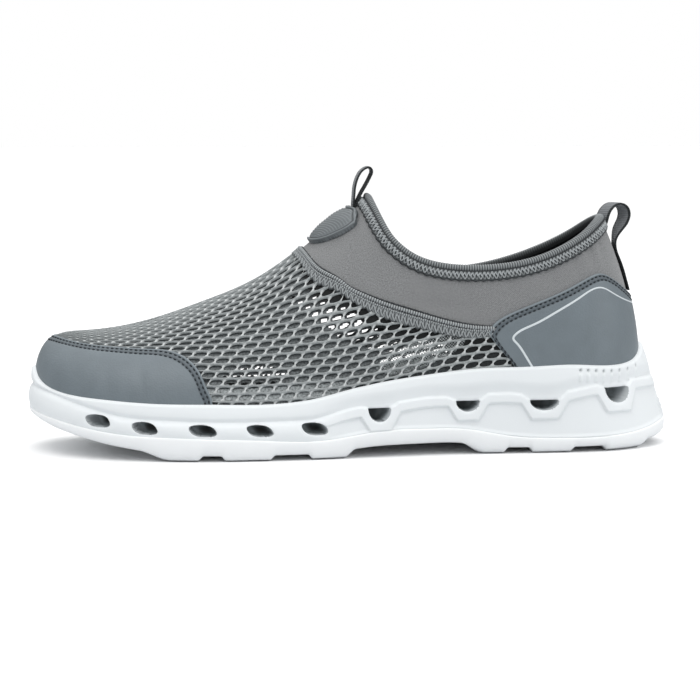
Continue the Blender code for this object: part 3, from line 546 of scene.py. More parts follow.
def slid_to_outline(run, run_at, z):
    """Points close to an opening's outline, slid onto it down its slope so that it comes out crisp."""
    away = openings(run, run_at, z)[0]
    slope_run = (openings(run + PROBE, run_at, z)[0] - away) / PROBE
    slope_z = (openings(run, run_at, z + PROBE)[0] - away) / PROBE
    steep = np.maximum(slope_run**2 + slope_z**2, 0.05)
    slide = np.where(np.abs(away) < 0.3 * np.sqrt(steep), away / steep, 0)
    return run - slide * slope_run, z - slide * slope_z


print(len(WINDOWS), "openings on each side, drawn", POCKET, "mm deep")


# %% Rim and marks of the side
def rim_lines(run, run_at, crease):
    """Top and foot of the raised rim.

    The top lies just under the crease, and runs round the lower edge of each rear opening. The foot keeps
    its distance to the crease, and dips under each rear opening as a trapezium with a flat base.
    """
    line, low = crease - 0.4, crease - 0.4 - RIM_TALL
    for x, middle, length, height, slant, dips in WINDOWS:
        if dips:
            away, top = np.abs(run - run_at(x)) / (length / 2), middle + height / 2
            bowl = top - height * np.clip(1 - away**2, 0, None)
            slope = top + (crease - 0.4 - top) * np.clip((away - 1) * length / 2 / RIM_RISE, 0, 1)
            line = np.minimum(line, np.where(away < 1, bowl, slope))
            side_rise = np.clip(np.abs(run - run_at(x)) - RIM_FLAT * length, 0, None) * RIM_STEEP
            low = np.minimum(low, top - height - RIM_DEEP + side_rise)
    return line, low


def heel_marks(run, run_at, z, top):
    """Marks below the heel's top edge: the depth of a small dot, and the height of a short bar under it."""
    dots, bars = np.zeros(z.shape), np.zeros(z.shape)
    for x in MARKS_X:
        u, below = run - run_at(x), top - z
        dots = np.maximum(dots, ease((0.85 - np.hypot(u, below - 2.4)) / 0.5))
        bars = np.maximum(bars, ease((0.9 - np.hypot(u, np.maximum(np.abs(below - 5.8) - 1.2, 0))) / 0.5))
    return dots, 0.5 * bars


def below_line(run, z, line_run, line_z):
    """Distance below a wavy line: the shortest to any of its points, counted below zero above the line."""
    rows = [np.hypot(r[:, None] - line_run, h[:, None] - line_z).min(1) for r, h in zip(run, z)]
    distance = np.stack(rows)
    return np.where(z < np.interp(run, line_run, line_z), distance, -distance)


print("the rim is", RIM_TALL, "mm tall, and", len(MARKS_X), "marks stand above it at the heel")

# %% Relief of the side
SIDE_ROWS = 60
# Behind the ball: how far the rim stands out, and how far the panel, the valley and the tuck lie in
RIM_OUT, PANEL_IN, VALLEY_IN, TUCK_IN = 0.65, 0.55, 1.3, 1.2
# Swell of the band along the top, swell of the side in front, depth and width of the crease there
BAND_OUT, BODY_OUT, CREASE_IN, CREASE_WIDE = 0.3, 1.0, 0.9, 1.2
# Slanted ribs at the heel's back: how far they stand out, pitch, and rise for each mm of run
HEEL_RIB_OUT, HEEL_RIB_PITCH, HEEL_RIB_RISE = 0.6, 2.7, 0.55


def midsole_side(side):
    """Rows of the side from the inner edge to the join, and the painted shade of each point in an opening.
    """
    base, out = foot(SOLE, side), outward(SOLE, side)
    x, flare = base[:, 0], round_spline(FLARE, 1, SOLE)
    crease, join = spline(SOLE_LINES, 1, x), spline(SOLE_LINES, 2, x)
    edge = skin(SOLE, round_spline(FOXING, 1, SOLE), side)[0]
    inner = ((edge - base) * out).sum(-1) + GAP
    top, lip = edge[:, 2], inner + FOXING_THICK
    columns = run_length(base + out * flare[:, None])

    def run_at(at):
        return np.interp(-at, -x, columns)

    rim_line, rim_foot = rim_lines(columns, run_at, crease)

    share = np.linspace(0, 1, SIDE_ROWS)[:, None]
    z = (top - 0.9) * (1 - share) + join * share
    run, z = slid_to_outline(np.broadcast_to(columns, z.shape), run_at, z)
    away, dark = openings(run, run_at, z)
    inside = (away < -0.05).astype(float)

    def at_run(values):
        return np.interp(run, columns, values)

    crease_z, join_z, top_z, lip_at = at_run(crease), at_run(join), at_run(top), at_run(lip)
    plain = lip_at + 0.6 + (at_run(flare) - lip_at - 0.6) * (top_z - z) / (top_z - join_z)
    front = 1 - ease((at_run(x) + 24) / 20)
    rear = (1 - front) * ease((run - 1) / 12)
    under_rim = below_line(run, z, columns, rim_line)
    under_foot = below_line(run, z, columns, rim_foot)
    rim = ease((under_rim + 0.3) / 0.6) * ease((0.4 - under_foot) / 0.8)
    panel = ease((under_foot + 0.3) / 0.9) * ease((z - join_z - 0.3) / 1.4)
    above = ease((z - crease_z + 0.3) / 0.6)
    valley = ease(-under_rim / 0.7) * (1 - above)
    tuck = above * ease((crease_z + 6 - z) / 6)
    body = np.sin(np.pi * np.clip((crease_z - z) / (crease_z - join_z), 0, 1))
    band = np.sin(np.pi * np.clip((top_z - z) / (top_z - crease_z), 0, 1))
    wave = RIM_OUT * rim - PANEL_IN * panel - VALLEY_IN * valley - TUCK_IN * tuck
    relief = rear * wave + BAND_OUT * band
    relief = relief + front * (BODY_OUT * body - CREASE_IN * np.exp(-((z - crease_z) / CREASE_WIDE)**2))
    slant_ribs = np.cos(np.pi * (z - 20 - HEEL_RIB_RISE * run) / HEEL_RIB_PITCH)**2
    slant_ribs = slant_ribs * ease((run - 3) / 1.5) * ease((13 - run) / 2)
    relief = relief + HEEL_RIB_OUT * slant_ribs * ease((z - 12) / 2) * ease((21.5 - z) / 2)
    dots, bars = heel_marks(run, run_at, z, top_z)
    # The edge of an opening is rounded off a little
    rounding = 0.25 * np.exp(-(away / 0.6)**2) * (1 - inside)
    offset = plain + relief + bars - dots - POCKET * inside - rounding
    foot_line = np.stack([at_run(base[:, c]) for c in (0, 1)], -1)
    away_line = np.stack([at_run(out[:, c]) for c in (0, 1)], -1)
    side_rows = np.concatenate([foot_line + away_line * offset[..., None], z[..., None]], -1)
    # Over the top edge, as height and offset, from inside to outside
    edge_rows = [(top - 2.0, inner), (top - 0.3, inner), (top, inner + 0.4), (top, lip - 0.8),
                 (top - 0.2, lip - 0.15), (top - 0.5, lip + 0.3)]
    edge_rows = [np.column_stack([(base + out * o[:, None])[:, :2], h]) for h, o in edge_rows]
    edge_rows[0] = skin(SOLE, round_spline(FOXING, 1, SOLE) * 0.5, side, np.full(len(SOLE), GAP))[0]
    bottom = base + out * GAP - [0, 0, GAP]
    # Painted shade: grey to black inside the openings, and grey in the dots of the heel marks
    painted_side_shade = np.maximum(dark * inside, 0.3 * dots)
    tone = np.concatenate([np.zeros((len(edge_rows) + 1, len(SOLE))), painted_side_shade])
    return np.concatenate([[bottom], edge_rows, side_rows]), tone


print("the side is", SIDE_ROWS, "rows of", len(SOLE), "points")

# %% The midsole
# Painted shade above which a quad belongs to an opening, and the least painted shade of its corners
OPENING_SHADE, OPENING_LEAST_SHADE = 0.31, 0.32


def spine(height):
    """Middle line between both foot edges, at the given heights."""
    middle = (foot(SOLE, LATERAL) + foot(SOLE, MEDIAL)) / 2
    return np.column_stack([middle[:, :2], height])


lateral_rows, lateral_painted_shade = midsole_side(LATERAL)
medial_rows, medial_painted_shade = midsole_side(MEDIAL)
foot_z = foot(SOLE, LATERAL)[:, 2]
join_z = spline(SOLE_LINES, 2, foot(SOLE, LATERAL)[:, 0])
rows = [ring(spine(foot_z - GAP), spine(foot_z - GAP))]
rows += [ring(a, b) for a, b in zip(lateral_rows, medial_rows)]
rows += [ring(spine(join_z), spine(join_z))]
tones = [ring(a, b) for a, b in zip(lateral_painted_shade, medial_painted_shade)]
tones = [tones[0] * 0] + tones + [tones[0] * 0]
rows, tones = np.stack(rows), np.stack(tones)
faces = grid_faces(*rows.shape[:2], closed=True)
# A wall that falls into an opening gets painted shade, grey from its very edge, so that the outline stays
# crisp
painted_corner_shade = tones.ravel()[faces]
in_opening = painted_corner_shade.max(1, keepdims=True) > OPENING_SHADE
painted_corner_shade = np.where(in_opening, np.maximum(painted_corner_shade, OPENING_LEAST_SHADE), painted_corner_shade)
surface = (rows.reshape(-1, 3), faces, painted_corner_shade)
add_piece("midsole_foam", surface, foam_look, "midsole")

# %% [markdown]
# ## The outsole
# The tread shows from the side as a thin band with lugs. Each lug ends in slopes, and a thin cut across its
# middle lets it bend. Lugs could be blocks set under a plate, but a moulded tread grows out of its plate in
# one skin. So the underside is a height field over the sole's width, with the lugs' shares in both
# directions.

# %% The outsole
# Lugs: x from and to, and the slopes at both ends
LUGS = [(-83, -72, 14, 2.4), (-60, -41, 2.4, 2.4), (-22, -8, 2.4, 5), (57, 65, 12, 2.4),
        (79, 95, 2.4, 2.4), (111, 124, 2.4, 2.4)]
# Tread's edge: share of the way down from the join, how far it stands out there
TREAD_EDGE = [(-0.06, -1.5), (-0.05, 0.0), (0.0, 0.35), (0.08, 0.45), (0.35, 0.3), (0.6, 0.0), (0.8, -0.4),
              (0.92, -0.9), (1.0, -1.6)]
CUT_DEEP, CUT_WIDE = 1.2, 0.6


def outsole_rows(side):
    """Rows from the join down the tread's edge and across the underside to the middle line."""
    base, out = foot(SOLE, side), outward(SOLE, side)
    x = foot(SOLE, LATERAL)[:, 0]
    join, low = spline(SOLE_LINES, 2, base[:, 0]) - GAP, spline(SOLE_LINES, 3, base[:, 0])
    flare, inset = round_spline(FLARE, 1, SOLE), round_spline(FLARE, 2, SOLE)
    lug, cuts = np.zeros_like(x), np.zeros_like(x)
    for first, final, slope_in, slope_out in LUGS:
        lug = np.maximum(lug, ease((x - first) / slope_in + 1) * ease((final - x) / slope_out + 1))
        cuts = np.maximum(cuts, np.exp(-((x - (first + final) / 2) / CUT_WIDE)**2))
    edge_low = low * (1 - 0.7 * lug)
    rows = []
    for fall, swell in TREAD_EDGE:
        offset = flare + swell * np.where(fall > 0.5, inset / 1.8, 1.0)
        edge = base + out * offset[:, None]
        rows.append(np.column_stack([edge[:, :2], join + (edge_low - join) * fall]))
    # Across the underside, from the edge to the middle line, and how much of a lug stands there
    share = np.concatenate([[0.012, 0.035], np.linspace(0.07, 0.39, 12), np.linspace(0.40, 0.43, 4),
                            [0.46, 0.5]])
    block = np.interp(share, [0, 0.035, 0.40, 0.43, 0.5], [0.7, 1, 1, 0, 0])
    lateral_edge = foot(SOLE, LATERAL) + outward(SOLE, LATERAL) * (flare - inset)[:, None]
    medial_edge = foot(SOLE, MEDIAL) + outward(SOLE, MEDIAL) * (flare - inset)[:, None]
    near, far = (lateral_edge, medial_edge) if side == LATERAL else (medial_edge, lateral_edge)
    for s, b in zip(share, block):
        flat = near * (1 - s) + far * s
        sunk = CUT_DEEP * cuts * b * (s > 0.05)
        rows.append(np.column_stack([flat[:, :2], low * (1 - lug * b) + sunk * lug]))
    return rows


top_line_rows = [ring(spine(join_z - GAP), spine(join_z - GAP))]
rows = np.stack(top_line_rows + [ring(a, b) for a, b in zip(outsole_rows(LATERAL), outsole_rows(MEDIAL))])
add_piece("outsole_rubber", sheet(rows, closed=True), rubber_look, "outsole")

# %% [markdown]
# ## Inside: the insole
# The insole is a foam sheet with a dark knit face, loose in the shoe. A flat plate would do from the side,
# but from above its rounded edge shows, so it is built in rows from the foot edge inward.

# %% Insole
# Lining knit: dark and dull, so that the inside of the shoe falls back behind the collar
lining_look, tree, inputs = new_material("dark lining knit", "#2d3133", 0.9)
place = node(tree, "TexCoord", {}).outputs["Object"]
# Knit loops are about a millimetre
loops = node(tree, "TexVoronoi", {"Vector": place, "Scale": 1 / (1.1 * MM)}).outputs["Distance"]
bump = node(tree, "Bump", {"Height": loops, "Strength": 0.5, "Distance": 0.2 * MM})
tree.links.new(bump.outputs["Normal"], inputs["Normal"])

# Its edge: height above the foot edge, distance in from it
INSOLE_EDGE = [(0.0, 2.6), (1.5, 2.6), (3.0, 2.8), (3.6, 3.3), (4.0, 4.2), (3.8, 9.0)]
rows = [ring(spine(foot_z), spine(foot_z))]
for height, back in INSOLE_EDGE:
    sides = [foot(SOLE, s) - outward(SOLE, s) * back + [0, 0, height] for s in SIDES]
    rows.append(ring(*sides))
rows = np.stack(rows + [ring(spine(foot_z + 3.5), spine(foot_z + 3.5))])[:, ::2]
insole = add_piece("insole_pad", sheet(rows, closed=True), lining_look, "insole")

# %% [markdown]
# ## Coated panels: toe cap and heel counter
# Both are leather with a matte coating, cut as flat panels and sewn on with two rows of dark thread. They
# could be patches of one mesh for the whole upper, but then their edges would be as rough as its cells.
# Here rows of the surface follow each panel's edge, so the rounded edge and the dents along the stitches
# are formulas of the distance from it.

# %% Coated leather and thread
# Coated leather: a dull blue-grey sheen, broken up by pebbled grain and faint clouds
coated_look, tree, inputs = new_material("matte coated leather", "#6f797f", 0.45)
place = node(tree, "TexCoord", {}).outputs["Object"]
cloud = node(tree, "TexNoise", {"Vector": place, "Scale": 1 / (9 * MM), "Detail": 4.0}).outputs["Fac"]
shade = node(tree, "ValToRGB", {"Fac": cloud})
shade.color_ramp.elements[0].position, shade.color_ramp.elements[1].position = 0.3, 0.7
shade.color_ramp.elements[0].color = linear("#f4f4f4")
shade.color_ramp.elements[1].color = linear("#ffffff")
tone = node(tree, "Attribute", {}, attribute_name="tone").outputs["Fac"]
# The cut edge is paler, and the band along the stitches darker
ramp = node(tree, "ValToRGB", {"Fac": tone})
ramp.color_ramp.elements[0].color = linear("#7d878d")
ramp.color_ramp.elements[1].color = linear("#424b52")
ramp.color_ramp.elements.new(0.3).color = linear("#6f797f")
colour = node(tree, "VectorMath", {0: ramp.outputs["Color"], 1: shade.outputs["Color"]},
              operation="MULTIPLY")
tree.links.new(colour.outputs["Vector"], inputs["Base Color"])
# Grain pebbles of about 0.9 mm, and a finer tooth between them
pebble = node(tree, "TexVoronoi", {"Vector": place, "Scale": 1 / (0.9 * MM)}).outputs["Distance"]
tooth = node(tree, "TexNoise", {"Vector": place, "Scale": 1 / (0.35 * MM), "Detail": 2.0}).outputs["Fac"]
low_bump = node(tree, "Bump", {"Height": pebble, "Strength": 0.45, "Distance": 0.15 * MM})
bump = node(tree, "Bump", {"Height": tooth, "Strength": 0.3, "Distance": 0.1 * MM,
                           "Normal": low_bump.outputs["Normal"]})
tree.links.new(bump.outputs["Normal"], inputs["Normal"])

# Sewing thread: nearly black, so that each stitch shows as a dark dash
thread_look, tree, inputs = new_material("dark sewing thread", "#1f262b", 0.7)
place = node(tree, "TexCoord", {}).outputs["Object"]
# Twist of the thread, about 0.4 mm
twist = node(tree, "TexNoise", {"Vector": place, "Scale": 1 / (0.4 * MM), "Detail": 2.0}).outputs["Fac"]
bump = node(tree, "Bump", {"Height": twist, "Strength": 0.4, "Distance": 0.1 * MM})
tree.links.new(bump.outputs["Normal"], inputs["Normal"])

# Reflective film: pale and smoother than the leather round it, so that it draws a light line
strip_look, tree, inputs = new_material("pale reflective strip", "#d3dadd", 0.35)
place = node(tree, "TexCoord", {}).outputs["Object"]
# Fine beads of the reflective film, drawn at half a millimetre
beads = node(tree, "TexVoronoi", {"Vector": place, "Scale": 1 / (0.5 * MM)}).outputs["Distance"]
bump = node(tree, "Bump", {"Height": beads, "Strength": 0.25, "Distance": 0.08 * MM})
tree.links.new(bump.outputs["Normal"], inputs["Normal"])
print("panel materials:", coated_look.name, thread_look.name, strip_look.name)

# %% Panel edges
# Upper edge of each panel and the line it runs down to: station, girth share
TOE_CAP_EDGE = np.array([
    (10.90, 0.050), (10.92, 0.110), (10.98, 0.150), (11.10, 0.244), (11.23, 0.319), (11.40, 0.381),
    (11.62, 0.431), (12.05, 0.475), (12.50, 0.519), (13.10, 0.585), (13.68, 0.658), (14.30, 0.722),
    (15.0, 0.757),
])
COUNTER_EDGE = np.array([
    (3.62, 0.120), (3.70, 0.204), (3.83, 0.283), (3.98, 0.375), (4.07, 0.44), (4.09, 0.468),
    (4.06, 0.50), (3.98, 0.54), (3.80, 0.590), (3.52, 0.633), (3.03, 0.677), (2.50, 0.704),
    (1.98, 0.724), (1.67, 0.717), (1.40, 0.680), (0.85, 0.582), (0.40, 0.525), (0, 0.506),
])
TOE_LOW = np.array([(11.3, 0.0), (15.0, 0.0)])
COUNTER_LOW = np.array([(3.5, 0.02), (0.0, 0.02)])
# Distances of the surface's first rows from the edge
PANEL_ROWS = np.array([0, 0.1, 0.25, 0.45, 0.7, 0.95, 1.2, 1.4, 1.6, 1.8, 2.0, 2.3, 2.7, 3.1, 3.3, 3.5,
                       3.7, 3.9, 4.3, 5.0, 6.5, 8.5, 11.0])
EDGE_POINTS, INNER_ROWS = 260, 14
# A thickness of leather: how high its inner and outer faces lie, and how deep a stitch pulls it in
PANEL_LOW, PANEL_BASE, PANEL_THICK, STITCH_DENT = 0.05, 0.15, 1.3, 0.3


def curve_through(points, count):
    """Smooth line through a few places, evenly spaced along its rough length in mm."""
    # A station is about 25 mm long and an arch about 80 mm
    scaled = np.column_stack([run_length(points * [25.0, 80.0]), points])
    at = np.linspace(0, scaled[-1, 0], count)
    return np.column_stack([spline(scaled, 1, at), spline(scaled, 2, at)])


def panel_grid(edge, low, side):
    """Places from a panel's edge inward to its low line, first by distance and then by share."""
    many = np.linspace(0, 1, 60)[:, None, None]
    trial = edge * (1 - many) + low * many
    length = run_length(np.swapaxes(skin(trial[..., 0], trial[..., 1], side)[0], 0, 1))
    total = length[:, -1]
    near = np.minimum(PANEL_ROWS[:, None] / total, 1)
    rest = near[-1] + (1 - near[-1]) * np.linspace(0, 1, INNER_ROWS)[1:, None]
    share = np.concatenate([near, rest])
    place = edge * (1 - share[..., None]) + low * share[..., None]
    return place[..., 0], place[..., 1], share * total


print("panels have", len(PANEL_ROWS) + INNER_ROWS - 1, "rows of", EDGE_POINTS, "points")

# %% Panel surface
STITCH_ROWS, STITCH = (1.6, 3.5), 2.3
# One stitch from end to end, in six steps: height over the thread's line, radius
STITCH_DIP = np.array([-0.22, 0.0, 0.1, 0.1, 0.0, -0.22])
STITCH_RADIUS = np.array([0.0, 0.3, 0.36, 0.36, 0.3, 0.0])
STITCH_HIGH, STITCH_HALF = 1.25, 0.34


def panel_height(distance):
    """Outer face of a panel: a rounded edge, and a dent at each row of stitches."""
    edge = np.sqrt(np.clip(1 - (1 - np.clip(distance / 0.8, 0, 1))**2, 0, 1))
    dents = sum(np.exp(-((distance - row) / 0.4)**2) for row in STITCH_ROWS)
    return PANEL_BASE + PANEL_THICK * edge - STITCH_DENT * dents


def panel_tone(distance):
    """Paler on the lip of the edge, darker along the stitches."""
    lip = ease((0.9 - distance) / 0.3)
    sewn = ease((distance - 1.0) / 0.4) * ease((4.3 - distance) / 0.5)
    return 0.3 - 0.3 * lip + 0.42 * sewn


def panel_stitches(station, girth, distance, inset, side):
    """One row of stitches at a distance from a panel's edge, each a short tube that dips in at both ends."""
    line = [np.array([np.interp(inset, d, v) for d, v in zip(distance.T, values.T)])
            for values in (station, girth)]
    path, out = skin(line[0], line[1], side, STITCH_HIGH)
    keep = distance[-1] > inset + 3
    run = run_length(path[keep])
    count = int(run[-1] / STITCH)
    steps = np.linspace(-STITCH_HALF, STITCH_HALF, len(STITCH_DIP))
    at = (np.arange(count)[:, None] + 0.5 + steps) * (run[-1] / count)
    spots, outs = read_at(at, run, path[keep]), read_at(at, run, out[keep])
    return tubes(spots + outs * STITCH_DIP[:, None], outs, STITCH_RADIUS, np.zeros(len(STITCH_DIP)))


def make_panel(name, edge_points, low_points, solid, creases=()):
    """Panel on both sides: outer face, inner face just on the last, and stitches along the edge."""
    faces_parts, stitch_parts = [], []
    edge = curve_through(edge_points, EDGE_POINTS)
    low = read_at(np.linspace(0, 1, EDGE_POINTS), np.linspace(0, 1, len(low_points)), low_points)
    for side in SIDES:
        station, girth, distance = panel_grid(edge, low, side)
        height = panel_height(distance)
        for at, share, long, wide, deep in creases:
            height = height - deep * np.exp(-((station - at) / wide)**2 - ((girth - share) / long)**2)
        outer = skin(station, girth, side, height)[0]
        inner = skin(station, girth, side, np.full(height.shape, PANEL_LOW))[0]
        grid = np.concatenate([inner[::-1], outer])
        tone = np.concatenate([panel_tone(distance)[::-1], panel_tone(distance)])
        faces_parts.append(sheet(grid, tone, flip=side == MEDIAL))
        stitch_parts += [panel_stitches(station, girth, distance, inset, side) for inset in STITCH_ROWS]
    add_piece(name + "_panel", joined(faces_parts), coated_look, solid)
    add_piece(name + "_stitches", joined(stitch_parts), thread_look, solid)


# Soft troughs where the cap was drawn over the toe: station, girth share, length, width, depth
TOE_CREASES = [(12.15, 0.22, 0.16, 0.10, 0.35), (12.75, 0.18, 0.14, 0.12, 0.30),
               (13.35, 0.22, 0.16, 0.12, 0.25), (14.1, 0.42, 0.2, 0.16, 0.2)]
make_panel("toe_cap", TOE_CAP_EDGE, TOE_LOW, "toe_cap", TOE_CREASES)
make_panel("heel_counter", COUNTER_EDGE, COUNTER_LOW, "heel_counter")

# %% [markdown]
# ## The reflective strip
# A narrow pale strip is pressed onto the counter: up its front, along under the top edge, and down to the
# heel. It could be painted into the leather's colour, but its raised edge catches the light. So a smooth
# curve through a few places on the counter is its path, and a low arch its section.

# %% The reflective strip
# Middle line of the strip: station, girth share
STRIP_LINE = curve_through(np.array([
    (3.29, 0.10), (3.37, 0.167), (3.50, 0.279), (3.62, 0.367), (3.672, 0.408), (3.60, 0.446),
    (3.30, 0.496), (2.83, 0.560), (2.35, 0.608), (1.97, 0.635), (1.78, 0.629), (1.38, 0.562),
    (0.77, 0.483), (0.3, 0.455), (0, 0.448),
]), 300)
# Round its section: place across as a share of the half width, height over the last
STRIP_ACROSS = np.array([-1.0, -0.9, -0.5, 0, 0.5, 0.9, 1.0, -1.0])
STRIP_HEIGHT = np.array([1.2, 1.5, 1.58, 1.6, 1.58, 1.5, 1.2, 1.2])
strip_parts = []
for side in SIDES:
    station, girth = STRIP_LINE.T
    path, out = skin(station, girth, side)
    across = unit(np.cross(np.gradient(path, axis=0), out))
    half = np.interp(station, [0, 1.8, 2.6, 3.7], [0.3, 0.38, 0.52, 0.55])
    sideways = across[None] * (STRIP_ACROSS[:, None] * half)[..., None]
    strip_parts.append(sheet(path[None] + sideways + out[None] * STRIP_HEIGHT[:, None, None]))
add_piece("reflective_strip", joined(strip_parts), strip_look, "heel_counter")

# %% [markdown]
# ## Collar cloth
# Behind the seam the upper is a soft cloth over thin foam, a mid grey with a fine twill that shows as
# diagonal lines under a millimetre apart. The inside is a dark lining of its own. Creases could come from a
# cloth simulation, but that would fold anew with every change. They are listed one by one instead, as soft
# troughs and ridges.

# %% Cloth
# Twill: dull mid grey with fine diagonal lines, and a sheen that softens its edges
cloth_look, tree, inputs = new_material("grey twill cloth", "#7f8081", 0.85)
flat = node(tree, "UVMap", {}, uv_map="cloth").outputs["UV"]
# Twill lines 0.9 mm apart along the cloth's edge, from the wave's own period of 0.63 in x plus y
twill = node(tree, "TexWave", {"Vector": flat, "Scale": 0.63 / 0.9, "Distortion": 0.8, "Detail": 1.0},
             bands_direction="DIAGONAL").outputs["Fac"]
fuzz = node(tree, "TexNoise", {"Vector": flat, "Scale": 1.6, "Detail": 4.0}).outputs["Fac"]
weave = node(tree, "Math", {0: twill, 1: 0.2, 2: fuzz}, operation="MULTIPLY_ADD").outputs["Value"]
shade = node(tree, "ValToRGB", {"Fac": weave})
shade.color_ramp.elements[0].position, shade.color_ramp.elements[1].position = 0.4, 0.8
shade.color_ramp.elements[0].color = linear("#646667")
shade.color_ramp.elements[1].color = linear("#909192")
tree.links.new(shade.outputs["Color"], inputs["Base Color"])
inputs["Sheen Weight"].default_value = 0.25
low_bump = node(tree, "Bump", {"Height": twill, "Strength": 0.35, "Distance": 0.12 * MM})
bump = node(tree, "Bump", {"Height": fuzz, "Strength": 0.2, "Distance": 0.2 * MM,
                           "Normal": low_bump.outputs["Normal"]})
tree.links.new(bump.outputs["Normal"], inputs["Normal"])
print("cloth:", cloth_look.name)

# %% Collar shell
# Seam between net and cloth: row, upper station and girth share, lower station and girth share
SEAM = np.array([
    (0, 3.96, 0.500, 3.98, 0.438), (1, 4.42, 0.519, 4.45, 0.420), (2, 5.05, 0.569, 5.05, 0.463),
    (3, 5.90, 0.600, 5.85, 0.494), (4, 7.00, 0.544, 7.05, 0.472), (5, 7.83, 0.513, 7.80, 0.463),
    (6, 8.60, 0.613, 8.68, 0.562), (7, 9.10, 0.781, 9.18, 0.725), (8, 9.36, 1.0, 9.53, 1.0),
])
seam_rows = np.linspace(0, SEAM[-1, 0], 161)
SEAM_STATION = (spline(SEAM, 1, seam_rows) + spline(SEAM, 3, seam_rows)) / 2
SEAM_GIRTH = np.minimum((spline(SEAM, 2, seam_rows) + spline(SEAM, 4, seam_rows)) / 2, 1)
# Lower edge of the cloth behind the seam, tucked under the counter: station, girth share
CLOTH_TUCK = np.array([(3.5, 0.0), (3.62, 0.2), (3.75, 0.29), (3.9, 0.37), (4.02, 0.43), (4.1, 0.46)])
# Soft troughs and ridges of the collar: station, girth share, width in mm, height as a girth share, depth
COLLAR_CREASES = [
    (1.30, 0.86, 2.0, 0.08, 0.5), (1.52, 0.86, 1.8, 0.08, -0.3), (1.75, 0.85, 2.2, 0.10, 0.55),
    (2.00, 0.84, 1.8, 0.08, -0.3), (2.25, 0.84, 2.2, 0.10, 0.5), (2.80, 0.82, 2.6, 0.09, 0.45),
    (3.20, 0.81, 2.2, 0.08, -0.3), (3.60, 0.80, 2.6, 0.10, 0.4), (4.50, 0.80, 2.8, 0.10, 0.4),
    (5.30, 0.80, 2.8, 0.10, 0.4), (6.00, 0.82, 2.8, 0.10, 0.45), (6.60, 0.84, 2.4, 0.10, 0.4),
    (5.00, 0.68, 16.0, 0.06, 0.5), (6.90, 0.70, 6.0, 0.09, 0.6), (8.60, 0.78, 5.0, 0.06, 0.5),
]


def cloth_shell(low_height, high_height, coarser=1):
    """Shell over the collar: an outer and an inner face between the seam, or the foot edge, and the rim."""
    columns = np.concatenate([np.linspace(0, 4.1, 83), np.linspace(4.15, 9.40, 120)])[::coarser]
    low = np.interp(columns, np.concatenate([CLOTH_TUCK[:, 0], SEAM_STATION]),
                    np.concatenate([CLOTH_TUCK[:, 1], SEAM_GIRTH]))
    share = np.linspace(0, 1, 40 // coarser)[:, None]
    girth = low * (1 - share) + share
    station = np.broadcast_to(columns, girth.shape)
    parts, uvs = [], []
    for side in SIDES:
        middle = skin(columns, np.full(len(columns), 0.8), side)[0]
        along = np.broadcast_to(run_length(middle), girth.shape)
        up = girth * arch_length(columns, side)
        crease = np.zeros(girth.shape)
        for at, share_up, wide, tall, deep in COLLAR_CREASES:
            from_crease = along - np.interp(at, columns, along[0])
            crease = crease + deep * np.exp(-(from_crease / wide)**2 - ((girth - share_up) / tall)**2)
        outer = skin(station, girth, side, high_height - crease)[0]
        inner = skin(station, girth, side, low_height - crease)[0]
        grid = np.concatenate([outer, inner[::-1], outer[:1]])
        uv = np.stack([along, up], -1)
        uvs.append(np.concatenate([uv, uv[::-1], uv[:1]]).reshape(-1, 2))
        parts.append(sheet(grid, flip=side == LATERAL))
    return joined(parts), np.concatenate(uvs)


surface, uv = cloth_shell(-1.1, 0.0)
add_piece("collar_cloth", surface, cloth_look, "upper", closed=False, uv=uv)
surface, uv = cloth_shell(-2.0, -1.2, 2)
add_piece("collar_lining", surface, lining_look, "upper", closed=False, uv=uv)

# %% [markdown]
# ## The vamp's net
# The vamp is a spacer mesh: thick, slightly wavy strands run along the shoe, thin slanted ones tie them,
# and the holes between are staggered. A pattern that turns clear in the holes would be lighter, but it has
# no thickness to shade. So the cells are laid out flat, by x and by a row coordinate up from the foot edge,
# and the last gives each point its place. Each strand is a low arch, highest on its middle line.

# %% Yarns
# Net yarn: soft grey strands with paler ties, mottled by their filaments
net_look, tree, inputs = new_material("net yarn", "#8d9192", 0.75)
tone = node(tree, "Attribute", {}, attribute_name="tone").outputs["Fac"]
ramp = node(tree, "ValToRGB", {"Fac": tone})
ramp.color_ramp.elements[0].color = linear("#979c9d")
ramp.color_ramp.elements[1].color = linear("#dadddd")
place = node(tree, "TexCoord", {}).outputs["Object"]
# Filaments in the yarn, drawn at 0.7 mm so that they show
strands = node(tree, "TexNoise", {"Vector": place, "Scale": 1 / (0.7 * MM), "Detail": 3.0}).outputs["Fac"]
shade = node(tree, "MapRange", {"Value": strands, "From Min": 0.3, "From Max": 0.7,
                                "To Min": 0.78, "To Max": 1.15})
colour = node(tree, "VectorMath", {0: ramp.outputs["Color"], 1: shade.outputs["Result"]},
              operation="MULTIPLY")
tree.links.new(colour.outputs["Vector"], inputs["Base Color"])
bump = node(tree, "Bump", {"Height": strands, "Strength": 0.4, "Distance": 0.2 * MM})
tree.links.new(bump.outputs["Normal"], inputs["Normal"])

# Tone of the lining where no light falls on it, below which it goes to black
SHEER_MID = 0.3
# Sheer lining: dark behind the net, so that the holes read as holes, and paler where light falls in
sheer_look, tree, inputs = new_material("sheer lining net", "#474c4e", 0.85)
tone = node(tree, "Attribute", {}, attribute_name="tone").outputs["Fac"]
ramp = node(tree, "ValToRGB", {"Fac": tone})
ramp.color_ramp.elements[0].color = linear("#0d0f10")
ramp.color_ramp.elements[1].color = linear("#9a9fa0")
ramp.color_ramp.elements.new(SHEER_MID).color = linear("#393d3f")
place = node(tree, "TexCoord", {}).outputs["Object"]
